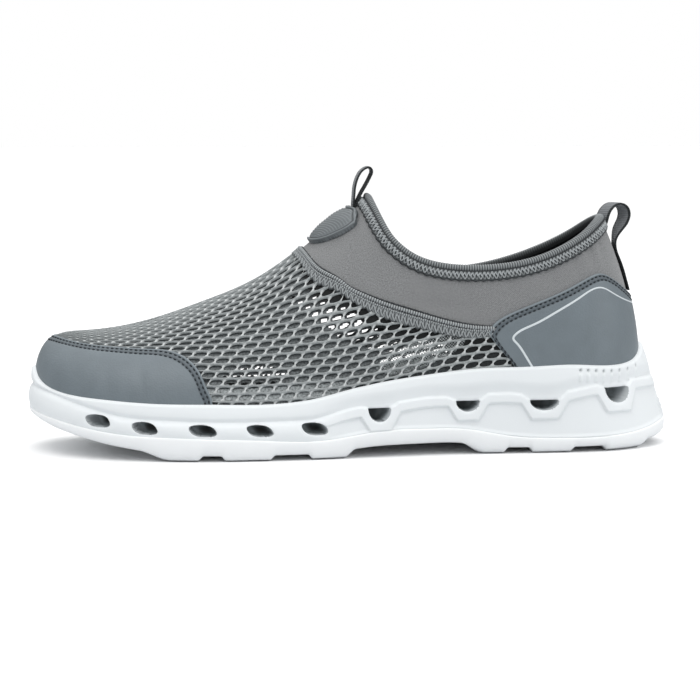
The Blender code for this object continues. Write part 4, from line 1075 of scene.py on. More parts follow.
# Its loops are too fine to show, and are drawn as a mottle of 0.9 mm
mottle = node(tree, "TexNoise", {"Vector": place, "Scale": 1 / (0.9 * MM), "Detail": 2.0}).outputs["Fac"]
shade = node(tree, "MapRange", {"Value": mottle, "From Min": 0.3, "From Max": 0.7,
                                "To Min": 0.45, "To Max": 1.6})
colour = node(tree, "VectorMath", {0: ramp.outputs["Color"], 1: shade.outputs["Result"]},
              operation="MULTIPLY")
tree.links.new(colour.outputs["Vector"], inputs["Base Color"])
print("yarns:", net_look.name, "and", sheer_look.name)

# %% Sections of the vamp
VAMP_X = np.arange(-141.0, 70.0, 1.0)
VAMP_SHARES = np.linspace(0, 1, 101)


def vamp_table(side):
    """Level cuts across the shoe, one for each x: length, and station and girth at even shares of it."""
    place = PLACE[side]
    at = np.stack([np.interp(-VAMP_X, -place[:, j, 0], STATIONS) for j in range(GIRTH_STEPS + 1)], 1)
    # In front of the ridge's end a cut tops out on the toe's own middle line
    top = np.interp(VAMP_X, np.maximum.accumulate(place[-1, :, 0]), GIRTHS)
    girth = GIRTHS * top[:, None]
    station = np.stack([np.interp(g, GIRTHS, row) for g, row in zip(girth, at)])
    run = run_length(skin(station, girth, side)[0])
    even = VAMP_SHARES * run[:, -1:]
    even_station = np.stack([np.interp(e, r, s) for e, r, s in zip(even, run, station)])
    even_girth = np.stack([np.interp(e, r, g) for e, r, g in zip(even, run, girth)])
    return run[:, -1], even_station, even_girth


VAMP = {side: vamp_table(side) for side in SIDES}
# Length of the cut that the rows are laid out for, and how far they rise toward the heel
FULL_ROWS, HEEL_RISE = 82.0, 3.5


def net_place(x, row, side):
    """Station and girth of a net coordinate.

    The way up from the foot edge is the row coordinate, plus a rise toward the heel, plus a pull that
    brings the top rows in line with the ridge.
    """
    length, stations, girths = VAMP[side]
    here = np.interp(x, VAMP_X, length)
    pull = 0.75 * (here - FULL_ROWS) * ease((row / FULL_ROWS - 0.3) / 0.7)
    up = row + HEEL_RISE * ease((x + 10) / 70) + pull
    line, share = x - VAMP_X[0], np.clip(up / here, 0, 1) * (len(VAMP_SHARES) - 1)
    return bilinear(stations, line, share), bilinear(girths, line, share), up <= here


def in_net(station, girth, inside, side):
    """True where the net shows, or lies tucked a little way under its neighbours."""
    tuck = 2.5 / arch_length(station, side)
    above_sole = girth > round_spline(FOXING, 1, station) - 1.6 * tuck
    seam = np.interp(station, SEAM_STATION, SEAM_GIRTH, right=2.0)
    toe_edge = np.interp(station, TOE_CAP_EDGE[:, 0], TOE_CAP_EDGE[:, 1], left=0.0)
    counter = np.interp(girth, [0.1, 0.2, 0.344, 0.44], [3.73, 3.78, 3.95, 4.05]) - 0.12
    return inside & above_sole & (girth < seam) & (girth > toe_edge - tuck) & (station > counter)


print("sections from", VAMP_X[0], "to", VAMP_X[-1], "with lengths", VAMP[LATERAL][0][::40].round(0))

# %% The net
# Cell length and height, swing of the long strands, and lean of the ties
NET_PITCH, NET_ROW, NET_WAVE, NET_LEAN = 6.4, 3.45, 0.15, -1.0
# Height and half width of the long strands and of the ties, and how square the holes are
BAR_CROWN, TIE_CROWN, BAR_HALF, TIE_HALF, HOLE_POWER = 0.95, 0.55, 0.6, 0.24, 2.3


def cell_rings():
    """One cell round its middle: the middle line of its strands, and the hole's edge.

    The upper and lower strands follow a cosine, and the hole is a superellipse that leans with the ties.
    """
    half, lean = NET_PITCH / 2, NET_LEAN
    lower = np.concatenate([np.linspace(-half - lean, lean, 5), np.linspace(lean, half - lean, 5)[1:]])
    upper = np.concatenate([np.linspace(half + lean, -lean, 5), np.linspace(-lean, lean - half, 5)[1:]])
    swing = [NET_ROW / 2 + NET_WAVE * np.cos(2 * np.pi * a / NET_PITCH) for a in (lower, upper)]
    x = np.concatenate([lower, [half], upper, [-half]])
    y = np.concatenate([-swing[0], [0], swing[1], [0]])
    # How much of a tie each point is: both ends of the cell, and half as much next to them
    tie = np.zeros(len(x))
    tie[[0, 8, 10, 18]] = 0.5
    tie[[9, 19]] = 1.0
    slope = 2 * lean / NET_ROW
    angle = np.arctan2(y / (NET_ROW / 2), (x - slope * y) / half)
    round_off = 2 / HOLE_POWER
    hole_x = (half - TIE_HALF) * np.sign(np.cos(angle)) * np.abs(np.cos(angle))**round_off
    hole_y = (NET_ROW / 2 + NET_WAVE - BAR_HALF) * np.sign(np.sin(angle)) * np.abs(np.sin(angle))**round_off
    return np.stack([x, y], -1), np.stack([hole_x + slope * hole_y, hole_y], -1), tie


def net_side(side):
    """All cells of one side, each with four rings from the strands' middle line down to the hole's edge."""
    middle, hole, tie = cell_rings()
    i, j = np.meshgrid(np.arange(-12, 24), np.arange(0, 34))
    x, row = -(i + 0.5 * (j % 2)) * NET_PITCH, (j + 0.5) * NET_ROW
    keep = in_net(*net_place(x, row, side), side)
    x, row = x[keep][:, None, None], row[keep][:, None, None]
    step = np.array([0.0, 0.45, 0.8, 1.0])[:, None]
    flat = middle * (1 - step[..., None]) + hole * step[..., None]
    crown = (BAR_CROWN + (TIE_CROWN - BAR_CROWN) * tie) * np.sqrt(1 - step**2) - 0.1
    station, girth = net_place(x - flat[..., 0], row + flat[..., 1], side)[:2]
    points = skin(station, girth, side, np.broadcast_to(crown, station.shape))[0]
    rings, around = flat.shape[:2]
    one = grid_faces(rings, around, closed=True, flip=side == LATERAL)
    faces = (one[None] + (np.arange(len(points)) * rings * around)[:, None, None]).reshape(-1, 4)
    tone = np.broadcast_to(tie**2, station.shape).ravel()
    return points.reshape(-1, 3), faces, tone


# A strand on the ridge, where both sides of the net meet, and down to the toe cap: points, height, radius
RIDGE_POINTS, TIP_POINTS, RIDGE_HIGH, RIDGE_RADIUS = 160, 20, 0.15, 0.65
ridge_end = np.interp(TOE, TOE_CAP_EDGE[:, 0], TOE_CAP_EDGE[:, 1])
ridge_station = np.concatenate([np.linspace(9.4, TOE, RIDGE_POINTS), np.full(TIP_POINTS, float(TOE))])
ridge_girth = np.concatenate([np.ones(RIDGE_POINTS), np.linspace(1, ridge_end, TIP_POINTS + 1)[1:]])
every = np.ones(len(ridge_station))
ridge, ridge_out = skin(ridge_station, ridge_girth, LATERAL, RIDGE_HIGH * every)
strand = tubes(ridge[None], ridge_out[None], RIDGE_RADIUS * every, 0 * every, 8)
net_parts = [net_side(side) for side in SIDES] + [strand]
add_piece("vamp_net", joined(net_parts), net_look, "upper", closed=False)

# %% [markdown]
# ## The sheer lining behind the net
# A fine lining lies behind the net. It could be one dark sheet, but in the photo daylight comes through
# both sides of the shoe in a few places, as small bright spots in the holes. So it is made of small
# patches. None lie where daylight shows, and in one place every second one is missing, for a veil of light.

# %% Sheer lining
# Size of a patch, and its height on the last
FINE, SHEER_HIGH = 0.65, -0.45
# Places where daylight shows: x, row, reach along, reach across, slant
SPOTS = [(-7, 38, 23, 5.5, -0.66), (3, 31.5, 15, 4.6, -0.30)]
SLITS = [(-46, 17.5, 15, 5.0, 0.0)]
VEILS = [(28, 18, 20, 6.0, 0.1)]
FAR_SPOTS = [(-30, 13, 42, 15, -0.1), (28, 8, 22, 9, 0.0), (0, 29, 22, 9, -0.6)]


def in_zones(x, row, zones):
    """True inside any of some slanted ellipses."""
    inside = np.zeros(x.shape, bool)
    for at, height, along, across, slant in zones:
        inside |= np.hypot((x - at) / along, (row - height - slant * (x - at)) / across) < 1
    return inside


def in_hole(x, row):
    """Place in the nearest hole of the net: along it and up it from its middle, with its lean taken out."""
    j = np.floor(row / NET_ROW)
    up = row - (j + 0.5) * NET_ROW
    shift = 0.5 * (j % 2)
    along = -x - (np.round(-x / NET_PITCH - shift) + shift) * NET_PITCH
    return along - 2 * NET_LEAN / NET_ROW * up, up


def sheer_side(side):
    """Small flat patches just under the net, without those where daylight shows."""
    i, j = np.meshgrid(np.arange(-104, 220), np.arange(0, 180))
    x, row = -i * FINE, (j + 0.5) * FINE
    along, up = in_hole(x, row)
    # The spots shrink to specks toward the ridge
    speck = 1 - 0.45 * ease((row - 36) / 10)
    spot = in_zones(x, row, SPOTS) & (np.hypot((along + 0.4) / 2.1, (up + 0.2) / 0.85) < speck)
    slit = in_zones(x, row, SLITS) & (np.hypot((along + 0.3) / 1.9, (up + 0.45) / 0.6) < 1)
    veil = in_zones(x, row, VEILS) & ((i + j) % 2 == 0)
    far = in_zones(x, row, FAR_SPOTS) & (np.hypot(along / 2.8, up / 1.3) < 1)
    open_here = spot | slit | veil if side == LATERAL else far
    keep = in_net(*net_place(x, row, side), side) & ~open_here
    corner = np.array([(-1, -1), (1, -1), (1, 1), (-1, 1)]) * FINE / 2
    x, row = x[keep][:, None] - corner[:, 0], row[keep][:, None] + corner[:, 1]
    station, girth = net_place(x, row, side)[:2]
    points = skin(station, girth, side, np.full(station.shape, SHEER_HIGH))[0]
    faces = np.arange(points.shape[0] * 4).reshape(-1, 4)
    # Each hole is lit in its lower half, and near the sole a pale backing lies behind it
    backing = ease((16.5 - row) / 5) * ease((10 - x) / 30)
    lit = 0.3 * ease((45 - x) / 40) * (1 - backing) + backing
    tone = lit * ease((0.55 + 0.4 * backing - in_hole(x, row)[1]) / 0.7)
    # Under the seam and next to the counter nothing lights the inside, and the holes are nearly black
    seam = np.interp(station, SEAM_STATION, SEAM_GIRTH, right=2.0)
    below_seam = (seam - girth) * arch_length(station, side)
    deep = np.maximum(ease((15 - below_seam) / 9), 0.6 * ease((x - 30) / 25))
    tone = (SHEER_MID + (1 - SHEER_MID) * tone) * (1 - deep)
    # In the veils the patches left are painted pale: painted light where daylight comes in
    tone = np.where(in_zones(x, row, VEILS), 1.0, tone)
    return points.reshape(-1, 3), faces[:, ::-1] if side == LATERAL else faces, tone.ravel()


patches = joined([sheer_side(side) for side in SIDES])
add_piece("vamp_sheer", patches, sheer_look, "upper", closed=False)

# %% [markdown]
# ## The knitted collar edge
# A knitted tape is folded over the rim. Its fold is ribbed across, and below it crossing zigzag threads
# hold it down. A plain tube round the rim would be quicker, but it has neither the fold nor the flat leg
# under it. So the tape is a profile carried round the rim: a leg on the outside, a half round and a leg
# inside.

# %% Knit and its threads
# Ribbed knit: dark between the ribs and pale on them, so that each rib shows
knit_look, tree, inputs = new_material("ribbed knit", "#6f7375", 0.85)
tone = node(tree, "Attribute", {}, attribute_name="tone").outputs["Fac"]
ramp = node(tree, "ValToRGB", {"Fac": tone})
ramp.color_ramp.elements[0].color = linear("#282c2e")
ramp.color_ramp.elements[1].color = linear("#b2b7b9")
tree.links.new(ramp.outputs["Color"], inputs["Base Color"])
place = node(tree, "TexCoord", {}).outputs["Object"]
# Fuzz of the yarn, drawn at half a millimetre
fuzz = node(tree, "TexNoise", {"Vector": place, "Scale": 1 / (0.5 * MM), "Detail": 3.0}).outputs["Fac"]
bump = node(tree, "Bump", {"Height": fuzz, "Strength": 0.4, "Distance": 0.15 * MM})
tree.links.new(bump.outputs["Normal"], inputs["Normal"])
print("knit:", knit_look.name)

# %% Skin under the rim
RIM_POINTS, RIM_TABLE = 300, 321
# The collar's part of the skin table: stations up to 10, girth shares from 0.7
collar_part = (slice(0, 10 * STATION_STEPS // TOE + 1), slice(7 * GIRTH_STEPS // 10, None))
spots = np.concatenate([PLACE[side][collar_part].reshape(-1, 3) for side in SIDES])
spot_outs = np.concatenate([OUT[side][collar_part].reshape(-1, 3) for side in SIDES])


def settle(points):
    """Nearest places on the collar's skin: the nearest table point, then flat onto the skin there."""
    nearest = (0.5 * (spots**2).sum(1) - points @ spots.T).argmin(1)
    spot, out = spots[nearest], spot_outs[nearest]
    return points - out * ((points - spot) * out).sum(-1, keepdims=True), out


def smooth_round(values, reach):
    """Average along a closed line with its neighbours, a few times over."""
    for _ in range(reach):
        values = (np.roll(values, 1, 0) + 2 * values + np.roll(values, -1, 0)) / 4
    return values


rim_stations = np.linspace(0, THROAT, RIM_TABLE)
rim = ring(*[skin(rim_stations, np.ones(RIM_TABLE), side)[0] for side in SIDES])
closed_rim = np.concatenate([rim, rim[:1]])
closed_run = run_length(closed_rim)
RIM_LENGTH = closed_run[-1]
rim = read_at(np.linspace(0, RIM_LENGTH, RIM_POINTS, endpoint=False), closed_run, closed_rim)
rim_out = smooth_round(settle(rim)[1], 6)
rim_along = np.roll(rim, -1, 0) - np.roll(rim, 1, 0)
rim_down = np.cross(rim_out, rim_along)
rim_down = unit(smooth_round(-np.sign(rim_down[:, 2:]) * unit(rim_down), 4))
rim_out = unit(np.cross(rim_along, rim_down))
rim_out *= np.sign((rim_out * settle(rim)[1]).sum(-1, keepdims=True))
depths = np.linspace(0, 8, 9)
legs = [settle(rim + rim_down * d) for d in depths]
LEG = np.stack([smooth_round(place, 4) for place, out in legs])
LEG_OUT = np.stack([unit(smooth_round(out, 6)) for place, out in legs])


def collar_skin(turn, depth, height):
    """Place under the rim: how far round it as a share, how deep below it and how high above the skin."""
    row, column = np.broadcast_arrays(depth, (turn % 1) * len(rim))
    wrapped = [np.concatenate([table, table[:, :1]], 1) for table in (LEG, LEG_OUT)]
    out = unit(bilinear(wrapped[1], row, column))
    return bilinear(wrapped[0], row, column) + out * np.asarray(height)[..., None], out


print("the rim is", RIM_LENGTH.round(1), "mm round")

# %% Collar edge
# Pitch of the ribs, thickness of the upper's wall, points across a rib
RIB, WALL, RIB_POINTS = 1.15, 2.0, 6


def round_resample(values, count):
    """A closed line of values at more places, read straight between its points."""
    closed = np.concatenate([values, values[:1]])
    return read_at(np.arange(count) / count * len(values), np.arange(len(closed)), closed)


RIBS = int(RIM_LENGTH / RIB)
columns = RIBS * RIB_POINTS
turn = np.arange(columns) / columns
rib = 0.5 + 0.5 * np.cos(2 * np.pi * RIBS * turn)
# Outer leg from its lower edge up: depth below the rim, height over the skin
deep = np.array([6.0, 6.02, 5.9, 5.6, 5.0, 4.2, 3.4, 2.6, 1.9, 1.4, 1.0, 0.5])[:, None]
lift = np.array([0.0, 0.45, 0.8, 0.95, 1.0, 1.0, 1.0, 1.0, 0.9, 0.75, 0.95, 1.3])[:, None]
ribbed = ease((1.3 - deep) / 0.5)
scallop = 0.12 * np.cos(2 * np.pi * RIBS / 3 * turn) * ease((deep - 5.0) / 0.6)
leg = collar_skin(turn, deep + 2 * scallop, lift + 0.28 * (rib - 0.5) * ribbed)[0]
rib_tone = 0.05 + 0.6 * rib
flat_tone = (1 - ribbed) * 0.09 * ease((5.9 - deep) / 0.4) * ease((deep - 1.5) / 0.5)
leg_tone = rib_tone * ribbed + flat_tone
fine_rim, fine_out, fine_down = (round_resample(v, columns) for v in (rim, rim_out, rim_down))
angle = np.radians(np.linspace(0, 180, 11))[:, None, None]
swell = 0.22 * (rib - 0.5)[None, :, None]
fold = (fine_rim - fine_out * WALL / 2)[None] + fine_out * (WALL / 2 + 1.4 + swell) * np.cos(angle)
fold = fold - fine_down * (1.6 + swell) * np.sin(angle)
fold_tone = rib_tone * (1 - 0.85 * ease((angle[..., 0] - 1.7) / 0.6))
# Inner leg from the fold down: depth below the rim, distance in from it
inside = np.array([0.5, 1.0, 1.5, 2.0, 2.2, 2.0])[:, None, None]
inset = (WALL + np.array([1.3, 1.2, 1.1, 0.9, 0.4, 0.1]))[:, None, None]
inner = fine_rim[None] + fine_down * inside - fine_out * inset
inner_tone = np.full(inner.shape[:2], 0.04)
rows = np.concatenate([leg, fold, inner])
tones = np.concatenate([leg_tone, fold_tone, inner_tone])
add_piece("collar_knit", sheet(rows, tones, closed=True), knit_look, "collar_binding")


# %% Cover threads
def rounded_zigzag(turns):
    """Swing from -1 to 1 with rounded turns: the arc sine of 0.95 of a sine, over its largest value."""
    return np.arcsin(0.95 * np.sin(2 * np.pi * turns)) / np.arcsin(0.95)


def zigzag(waves, phase, low, high, height):
    """Thread that swings between two depths below the rim, with its turns rounded."""
    at = np.arange(waves * 10) / (waves * 10)
    depth = (low + high) / 2 + (high - low) / 2 * rounded_zigzag(waves * at + phase)
    place, out = collar_skin(at, depth, np.full(at.shape, height))
    return np.concatenate([place, place[:1]]), np.concatenate([out, out[:1]])


COVER_PITCH = 3.4
waves = int(RIM_LENGTH / COVER_PITCH)
# Cover threads: waves, phase, least and most depth, height, radius, tone
THREADS = [(waves, 0.0, 1.9, 5.3, 1.1, 0.26, 0.45), (waves, 0.5, 1.9, 5.3, 1.25, 0.26, 0.75),
           (2 * waves, 0.1, 2.4, 3.9, 1.3, 0.2, 1.0)]
thread_parts = []
for count, phase, low, high, height, radius, tone in THREADS:
    path, out = zigzag(count, phase, low, high, height)
    every = np.ones(len(path))
    thread_parts.append(tubes(path[None], out[None], radius * every, tone * every))
add_piece("collar_zigzag", joined(thread_parts), knit_look, "collar_binding")

# %% [markdown]
# ## The seam between net and cloth
# A flat knitted tape covers the seam, and ribbed cords edge it. A painted band would lie flat, where this
# one stands a millimetre off the cloth. So the tape is a low arch between its two lines, with a zigzag of
# thread over it, and each cord is a tube whose radius swells at each rib.

# %% Seam lines
SEAM_POINTS, SEAM_ROUNDS = 700, 1500
# Pitch and depth of the teeth along the tape's lower edge
TOOTH, TOOTH_DEEP = 2.8, 0.9


def seam_lines(count):
    """Upper and lower lines of the tape, from one counter's tip over the ridge to the other's."""
    at = np.linspace(0, SEAM[-1, 0], count)
    lines = []
    for side in SIDES:
        upper = skin(spline(SEAM, 1, at), np.minimum(spline(SEAM, 2, at), 1), side)
        lower = skin(spline(SEAM, 3, at), np.minimum(spline(SEAM, 4, at), 1), side)
        lines.append([*upper, *lower])
    return [np.concatenate([a, b[-2::-1]]) for a, b in zip(*lines)]


def smooth_line(points, outs, reach):
    """Average each point with its neighbours many times, then lift the line back onto the skin."""
    even = points
    for _ in range(reach):
        even = np.concatenate([even[:1], (even[:-2] + 2 * even[1:-1] + even[2:]) / 4, even[-1:]])
    return even + outs * ((points - even) * outs).sum(-1, keepdims=True)


upper, upper_out, lower, lower_out = seam_lines(SEAM_POINTS)
upper = smooth_line(upper, upper_out, SEAM_ROUNDS)
lower = smooth_line(lower, lower_out, SEAM_ROUNDS)
seam_run = run_length((upper + lower) / 2)
teeth = np.abs((seam_run / TOOTH) % 1 - 0.5) * 2
lower = lower + unit(upper - lower) * (TOOTH_DEEP * (1 - teeth) - 0.2)[:, None]
print("the seam is", seam_run[-1].round(1), "mm long")

# %% Seam tape
# Across the tape from its lower line: share of the way, height over the skin
share = np.array([0, 0, 0.05, 0.14, 0.26, 0.38, 0.5, 0.62, 0.74, 0.86, 1.0, 1.0])[:, None, None]
lift = np.array([-0.1, 0.3, 0.7, 0.9, 0.95, 1.0, 1.0, 1.0, 1.0, 1.0, 0.7, -0.1])[:, None, None]
out = unit(lower_out * (1 - share) + upper_out * share)
# Loops of the knit, 1.4 mm apart, lie in a herringbone across the tape
place_across = share[..., 0]
slanted = seam_run / 1.4 + 1.6 * np.abs(place_across - 0.4)
weave = np.cos(2 * np.pi * slanted) * np.sin(np.pi * place_across)
grid = lower * (1 - share) + upper * share + out * (lift + 0.15 * weave[..., None])
low_edge, high_edge = ease((0.12 - place_across) / 0.1), ease((place_across - 0.68) / 0.1)
tape_tone = 0.36 + 0.34 * weave - 0.3 * low_edge - 0.3 * high_edge
tape = sheet(np.concatenate([grid, grid[:1]]), np.concatenate([tape_tone, tape_tone[:1]]))
add_piece("seam_knit", tape, knit_look, "seam_tape")

# %% Cords and zigzag of the seam
# Each cord: place across the tape, height, radius, rib length, tone and how far the tone swings. The last
# is no cord but a thin dark tube above the tape's upper edge: a painted shadow line
CORDS_AND_SHADOW_LINE = [(1.0, 0.75, 0.85, 1.15, 0.55, 0.42), (0.70, 0.95, 0.48, 1.0, 0.5, 0.4),
         (1.22, 0.35, 0.4, 1.0, 0.04, 0.0)]
# Zigzag thread: height over the tape's lines, radius, tone
ZIGZAG_HIGH, ZIGZAG_RADIUS, ZIGZAG_TONE = 1.1, 0.26, 0.72
cord_and_shadow_parts = []
for across, height, radius, rib_long, middle, swing in CORDS_AND_SHADOW_LINE:
    path = lower * (1 - across) + upper * across + upper_out * height
    ribs = np.cos(2 * np.pi * run_length(path) / rib_long)
    size = radius * (1 + 0.14 * ribs)
    size[[0, -1]] = 0
    cord_and_shadow_parts.append(tubes(path[None], upper_out[None], size[None], (middle + swing * ribs)[None], 8))
add_piece("seam_cords_and_painted_shadow", joined(cord_and_shadow_parts), knit_look, "seam_tape")

at = np.arange(0, seam_run[-1], 0.35)
middle = read_at(at, seam_run, (upper + lower) / 2)
across = read_at(at, seam_run, upper - lower)
normal = unit(read_at(at, seam_run, upper_out + lower_out))
path = middle + across * (-0.17 + 0.24 * rounded_zigzag(at / TOOTH))[:, None] + normal * ZIGZAG_HIGH
radius = np.full(len(path), ZIGZAG_RADIUS)
radius[[0, -1]] = 0
thread = tubes(path[None], normal[None], radius, np.full(len(path), ZIGZAG_TONE))
add_piece("seam_zigzag", thread, knit_look, "seam_tape")

# %% [markdown]
# ## The instep badge
# A moulded rubber shield sits on the instep, on the collar's cloth between the throat and the seam. It has
# a raised lip round it and plain ribs on its field. It could be a flat plate, bent to fit, but the instep
# curves both ways. So its points lie on the last, and their height follows from the distance to the
# outline: the lip near it, the field inside.

# %% Badge rubber
# Moulded rubber: smooth mid grey with a soft highlight, painted shade in its groove and at its foot, and
# darker between its ribs
badge_look, tree, inputs = new_material("grey moulded rubber", "#7d8284", 0.5)
place = node(tree, "TexCoord", {}).outputs["Object"]
# Its grain is about 0.7 mm
grain = node(tree, "TexNoise", {"Vector": place, "Scale": 1 / (0.7 * MM), "Detail": 2.0}).outputs["Fac"]
bump = node(tree, "Bump", {"Height": grain, "Strength": 0.2, "Distance": 0.1 * MM})
tree.links.new(bump.outputs["Normal"], inputs["Normal"])
tone = node(tree, "Attribute", {}, attribute_name="tone").outputs["Fac"]
ramp = node(tree, "ValToRGB", {"Fac": tone})
ramp.color_ramp.elements[0].color = linear("#73797c")
ramp.color_ramp.elements[1].color = linear("#33383b")
tree.links.new(ramp.outputs["Color"], inputs["Base Color"])
print("badge:", badge_look.name)

# %% Badge shield
# Row, station on the ridge, station and girth share of the edge
BADGE = np.array([
    (0, 8.48, 7.90, 0.850), (1, 8.58, 7.82, 0.815), (2, 8.72, 8.20, 0.797), (3, 8.86, 8.55, 0.818),
    (4, 9.00, 8.82, 0.855), (5, 9.11, 9.05, 0.910), (6, 9.18, 9.15, 0.955),
])
BADGE_ROWS, BADGE_COLUMNS = 90, 97
# Lip, groove inside it, sunk field, ribs on the field, and how far the whole is domed
LIP_HIGH, GROOVE_DEEP, FIELD_DEEP, BADGE_RIB, BADGE_DOME = 2.3, 0.7, 0.35, 0.3, 1.3
at = np.linspace(0, BADGE[-1, 0], BADGE_ROWS)
across = np.linspace(-1, 1, BADGE_COLUMNS)
half = BADGE_COLUMNS // 2 + 1
bow = np.abs(across)**1.5
station = spline(BADGE, 1, at)[:, None] * (1 - bow) + spline(BADGE, 2, at)[:, None] * bow
girth = 1 - (1 - spline(BADGE, 3, at)[:, None]) * np.abs(across)
lateral, lateral_out = skin(station[:, :half], girth[:, :half], LATERAL)
medial, medial_out = skin(station[:, half:], girth[:, half:], MEDIAL)
ground, ground_out = np.concatenate([lateral, medial], 1), np.concatenate([lateral_out, medial_out], 1)
outline = np.concatenate([ground[0], ground[:, -1], ground[-1, ::-1], ground[::-1, 0]])
from_edge = np.stack([np.linalg.norm(row[:, None] - outline[None], axis=-1).min(1) for row in ground])
edge = np.sqrt(np.clip(1 - (1 - np.clip(from_edge / 0.7, 0, 1))**2, 0, 1))
groove = np.exp(-((from_edge - 1.6) / 0.36)**2)
field = ease((from_edge - 1.8) / 0.4)
ribs = 0.5 + 0.5 * np.cos(2 * np.pi * run_length(np.swapaxes(ground, 0, 1)).T / 1.4)
ribbed = ease((from_edge - 2.2) / 0.5)
dome = BADGE_DOME * np.sin(np.pi / 2 * np.clip((from_edge - 1.6) / 8, 0, 1))
height = 0.2 + LIP_HIGH * edge - GROOVE_DEEP * groove - FIELD_DEEP * field + dome + BADGE_RIB * ribs * ribbed
outer = ground + ground_out * height[..., None]
inner = ground + ground_out * 0.1
front = np.concatenate([outer, inner[::-1], outer[:1]])
# Painted shade in the groove inside the lip and at the lip's foot, and darker between the ribs
badge_tone = np.maximum(groove, 0.5 * (1 - ribs) * ribbed)
badge_tone = np.maximum(badge_tone, 0.6 * ease((0.55 - from_edge) / 0.35))
badge_tone = np.concatenate([badge_tone, 0 * badge_tone, badge_tone[:1]])
ends = [np.stack([outer[:, c], inner[:, c]]) for c in (0, -1)]
parts = [sheet(front, badge_tone)] + [sheet(end) for end in ends]
add_piece("badge_shield", joined(parts), badge_look, "instep_badge")

# %% [markdown]
# ## Pull loops
# Both loops are woven webbing, about a millimetre thick, with dark selvedges. A bent plate would show a
# sharp rim, so a flat rounded profile is carried along each path. Its yarns could be modelled one by one,
# but they are finer than a pixel, and a wave on the webbing's own coordinates gives the same fine ribs.

# %% Webbing
# Webbing: dull grey with fine ribs across it and dark selvedges
webbing_look, tree, inputs = new_material("woven webbing", "#7d8083", 0.85)
tone = node(tree, "Attribute", {}, attribute_name="tone").outputs["Fac"]
flat = node(tree, "UVMap", {}, uv_map="cloth").outputs["UV"]
# Weave ribs 0.9 mm apart along the webbing, from the wave's own 0.314 period
weave = node(tree, "TexWave", {"Vector": flat, "Scale": 0.314 / 0.9, "Distortion": 0.3},
             bands_direction="X").outputs["Fac"]
ramp = node(tree, "ValToRGB", {"Fac": tone})
ramp.color_ramp.elements[0].color = linear("#7f8285")
ramp.color_ramp.elements[1].color = linear("#24282a")
shade = node(tree, "MapRange", {"Value": weave, "To Min": 0.75, "To Max": 1.1})
colour = node(tree, "VectorMath", {0: ramp.outputs["Color"], 1: shade.outputs["Result"]},
              operation="MULTIPLY")
tree.links.new(colour.outputs["Vector"], inputs["Base Color"])
bump = node(tree, "Bump", {"Height": weave, "Strength": 0.5, "Distance": 0.2 * MM})
tree.links.new(bump.outputs["Normal"], inputs["Normal"])
print("webbing:", webbing_look.name)

# %% Strip along a path
WEB_STEP, WEB_AROUND, WEB_HALF_THICK = 0.4, 28, 0.5
# Dark selvedge at each side: its width, and how softly it ends
SELVEDGE, SELVEDGE_SOFT = 1.3, 0.6


def web_line(path, closed):
    """Smooth line through the points of a path in the XZ plane, its direction, and lengths along it."""
    path = np.asarray(path, float)
    if closed:
        path = np.concatenate([path, path[:1]])
    run = run_length(path)
    table, count = np.column_stack([run, path]), int(run[-1] / WEB_STEP)
    at = np.linspace(0, run[-1], count, endpoint=not closed)
    if closed:
        # One more turn before and after, so that the line is smooth where it closes
        whole = [run[-1], 0, 0]
        table = np.concatenate([table[:-1] - whole, table, table[1:] + whole])
    line = np.stack([spline(table, 1, at), spline(table, 2, at)], -1)
    if closed:
        along = np.gradient(np.concatenate([line[-1:], line, line[:1]]), axis=0)[1:-1]
    else:
        along = np.gradient(line, axis=0)
    return line, along, at, run[-1]


def webbing(name, path, width, middle, closed, solid, dark, turn):
    """Flat rounded strip along a path in the XZ plane: a superellipse section square to the path.

    For a share of the way, one function gives how dark the strip is and another its yaw in degrees.
    """
    line, along, at, length = web_line(path, closed)
    square = unit(np.stack([-along[:, 1], along[:, 0]], -1))
    angle = np.linspace(0, 2 * np.pi, WEB_AROUND, endpoint=False)
    wide = np.sign(np.cos(angle)) * np.abs(np.cos(angle))**0.35 * width / 2
    thick = np.sign(np.sin(angle)) * np.abs(np.sin(angle))**0.6 * WEB_HALF_THICK
    points = np.empty((len(at), WEB_AROUND, 3))
    yaw = np.radians(turn(at / length))[:, None]
    points[..., 0] = line[:, :1] + square[:, :1] * thick - np.sin(yaw) * wide
    points[..., 1] = middle + np.cos(yaw) * wide
    points[..., 2] = line[:, 1:] + square[:, 1:] * thick
    tone = np.broadcast_to(ease((np.abs(wide) - width / 2 + SELVEDGE) / SELVEDGE_SOFT), points.shape[:2])
    tone = np.maximum(tone, dark(at / length)[:, None])
    uv = np.stack(np.broadcast_arrays(at[:, None], wide[None]), -1)
    if closed:
        points, tone, uv = (np.concatenate([a, a[:1]]) for a in (points, tone, uv))
    else:
        # Each end closes on its middle
        caps = [np.broadcast_to(end.mean(1, keepdims=True), end.shape) for end in (points[:1], points[-1:])]
        points = np.concatenate([caps[0], points, caps[1]])
        tone, uv = (np.concatenate([a[:1], a, a[-1:]]) for a in (tone, uv))
    surface = sheet(points, tone, closed=True)
    add_piece(name, surface, webbing_look, solid, uv=uv.reshape(-1, 2))


print("webbing is", 2 * WEB_HALF_THICK, "mm thick, in steps of", WEB_STEP, "mm")

# %% Pull loops
# Paths as x and z, the front ones from the throat's foot point
FRONT_FOOT = np.array([0.0, 109.5])
FRONT_LOOP = np.array([(1.9, -0.4), (1.8, 3.5), (2.1, 7.5), (4.0, 14.0), (6.7, 17.0), (9.0, 17.5),
                       (10.0, 16.2), (9.4, 13.6), (7.2, 9.4), (4.6, 4.8), (2.9, 1.2)])
webbing("front_loop_webbing", FRONT_LOOP + FRONT_FOOT, 8.0, 3.0, True, "front_pull_loop",
        lambda share: ease((share - 0.5) / 0.1), lambda share: 2 + 0 * share)
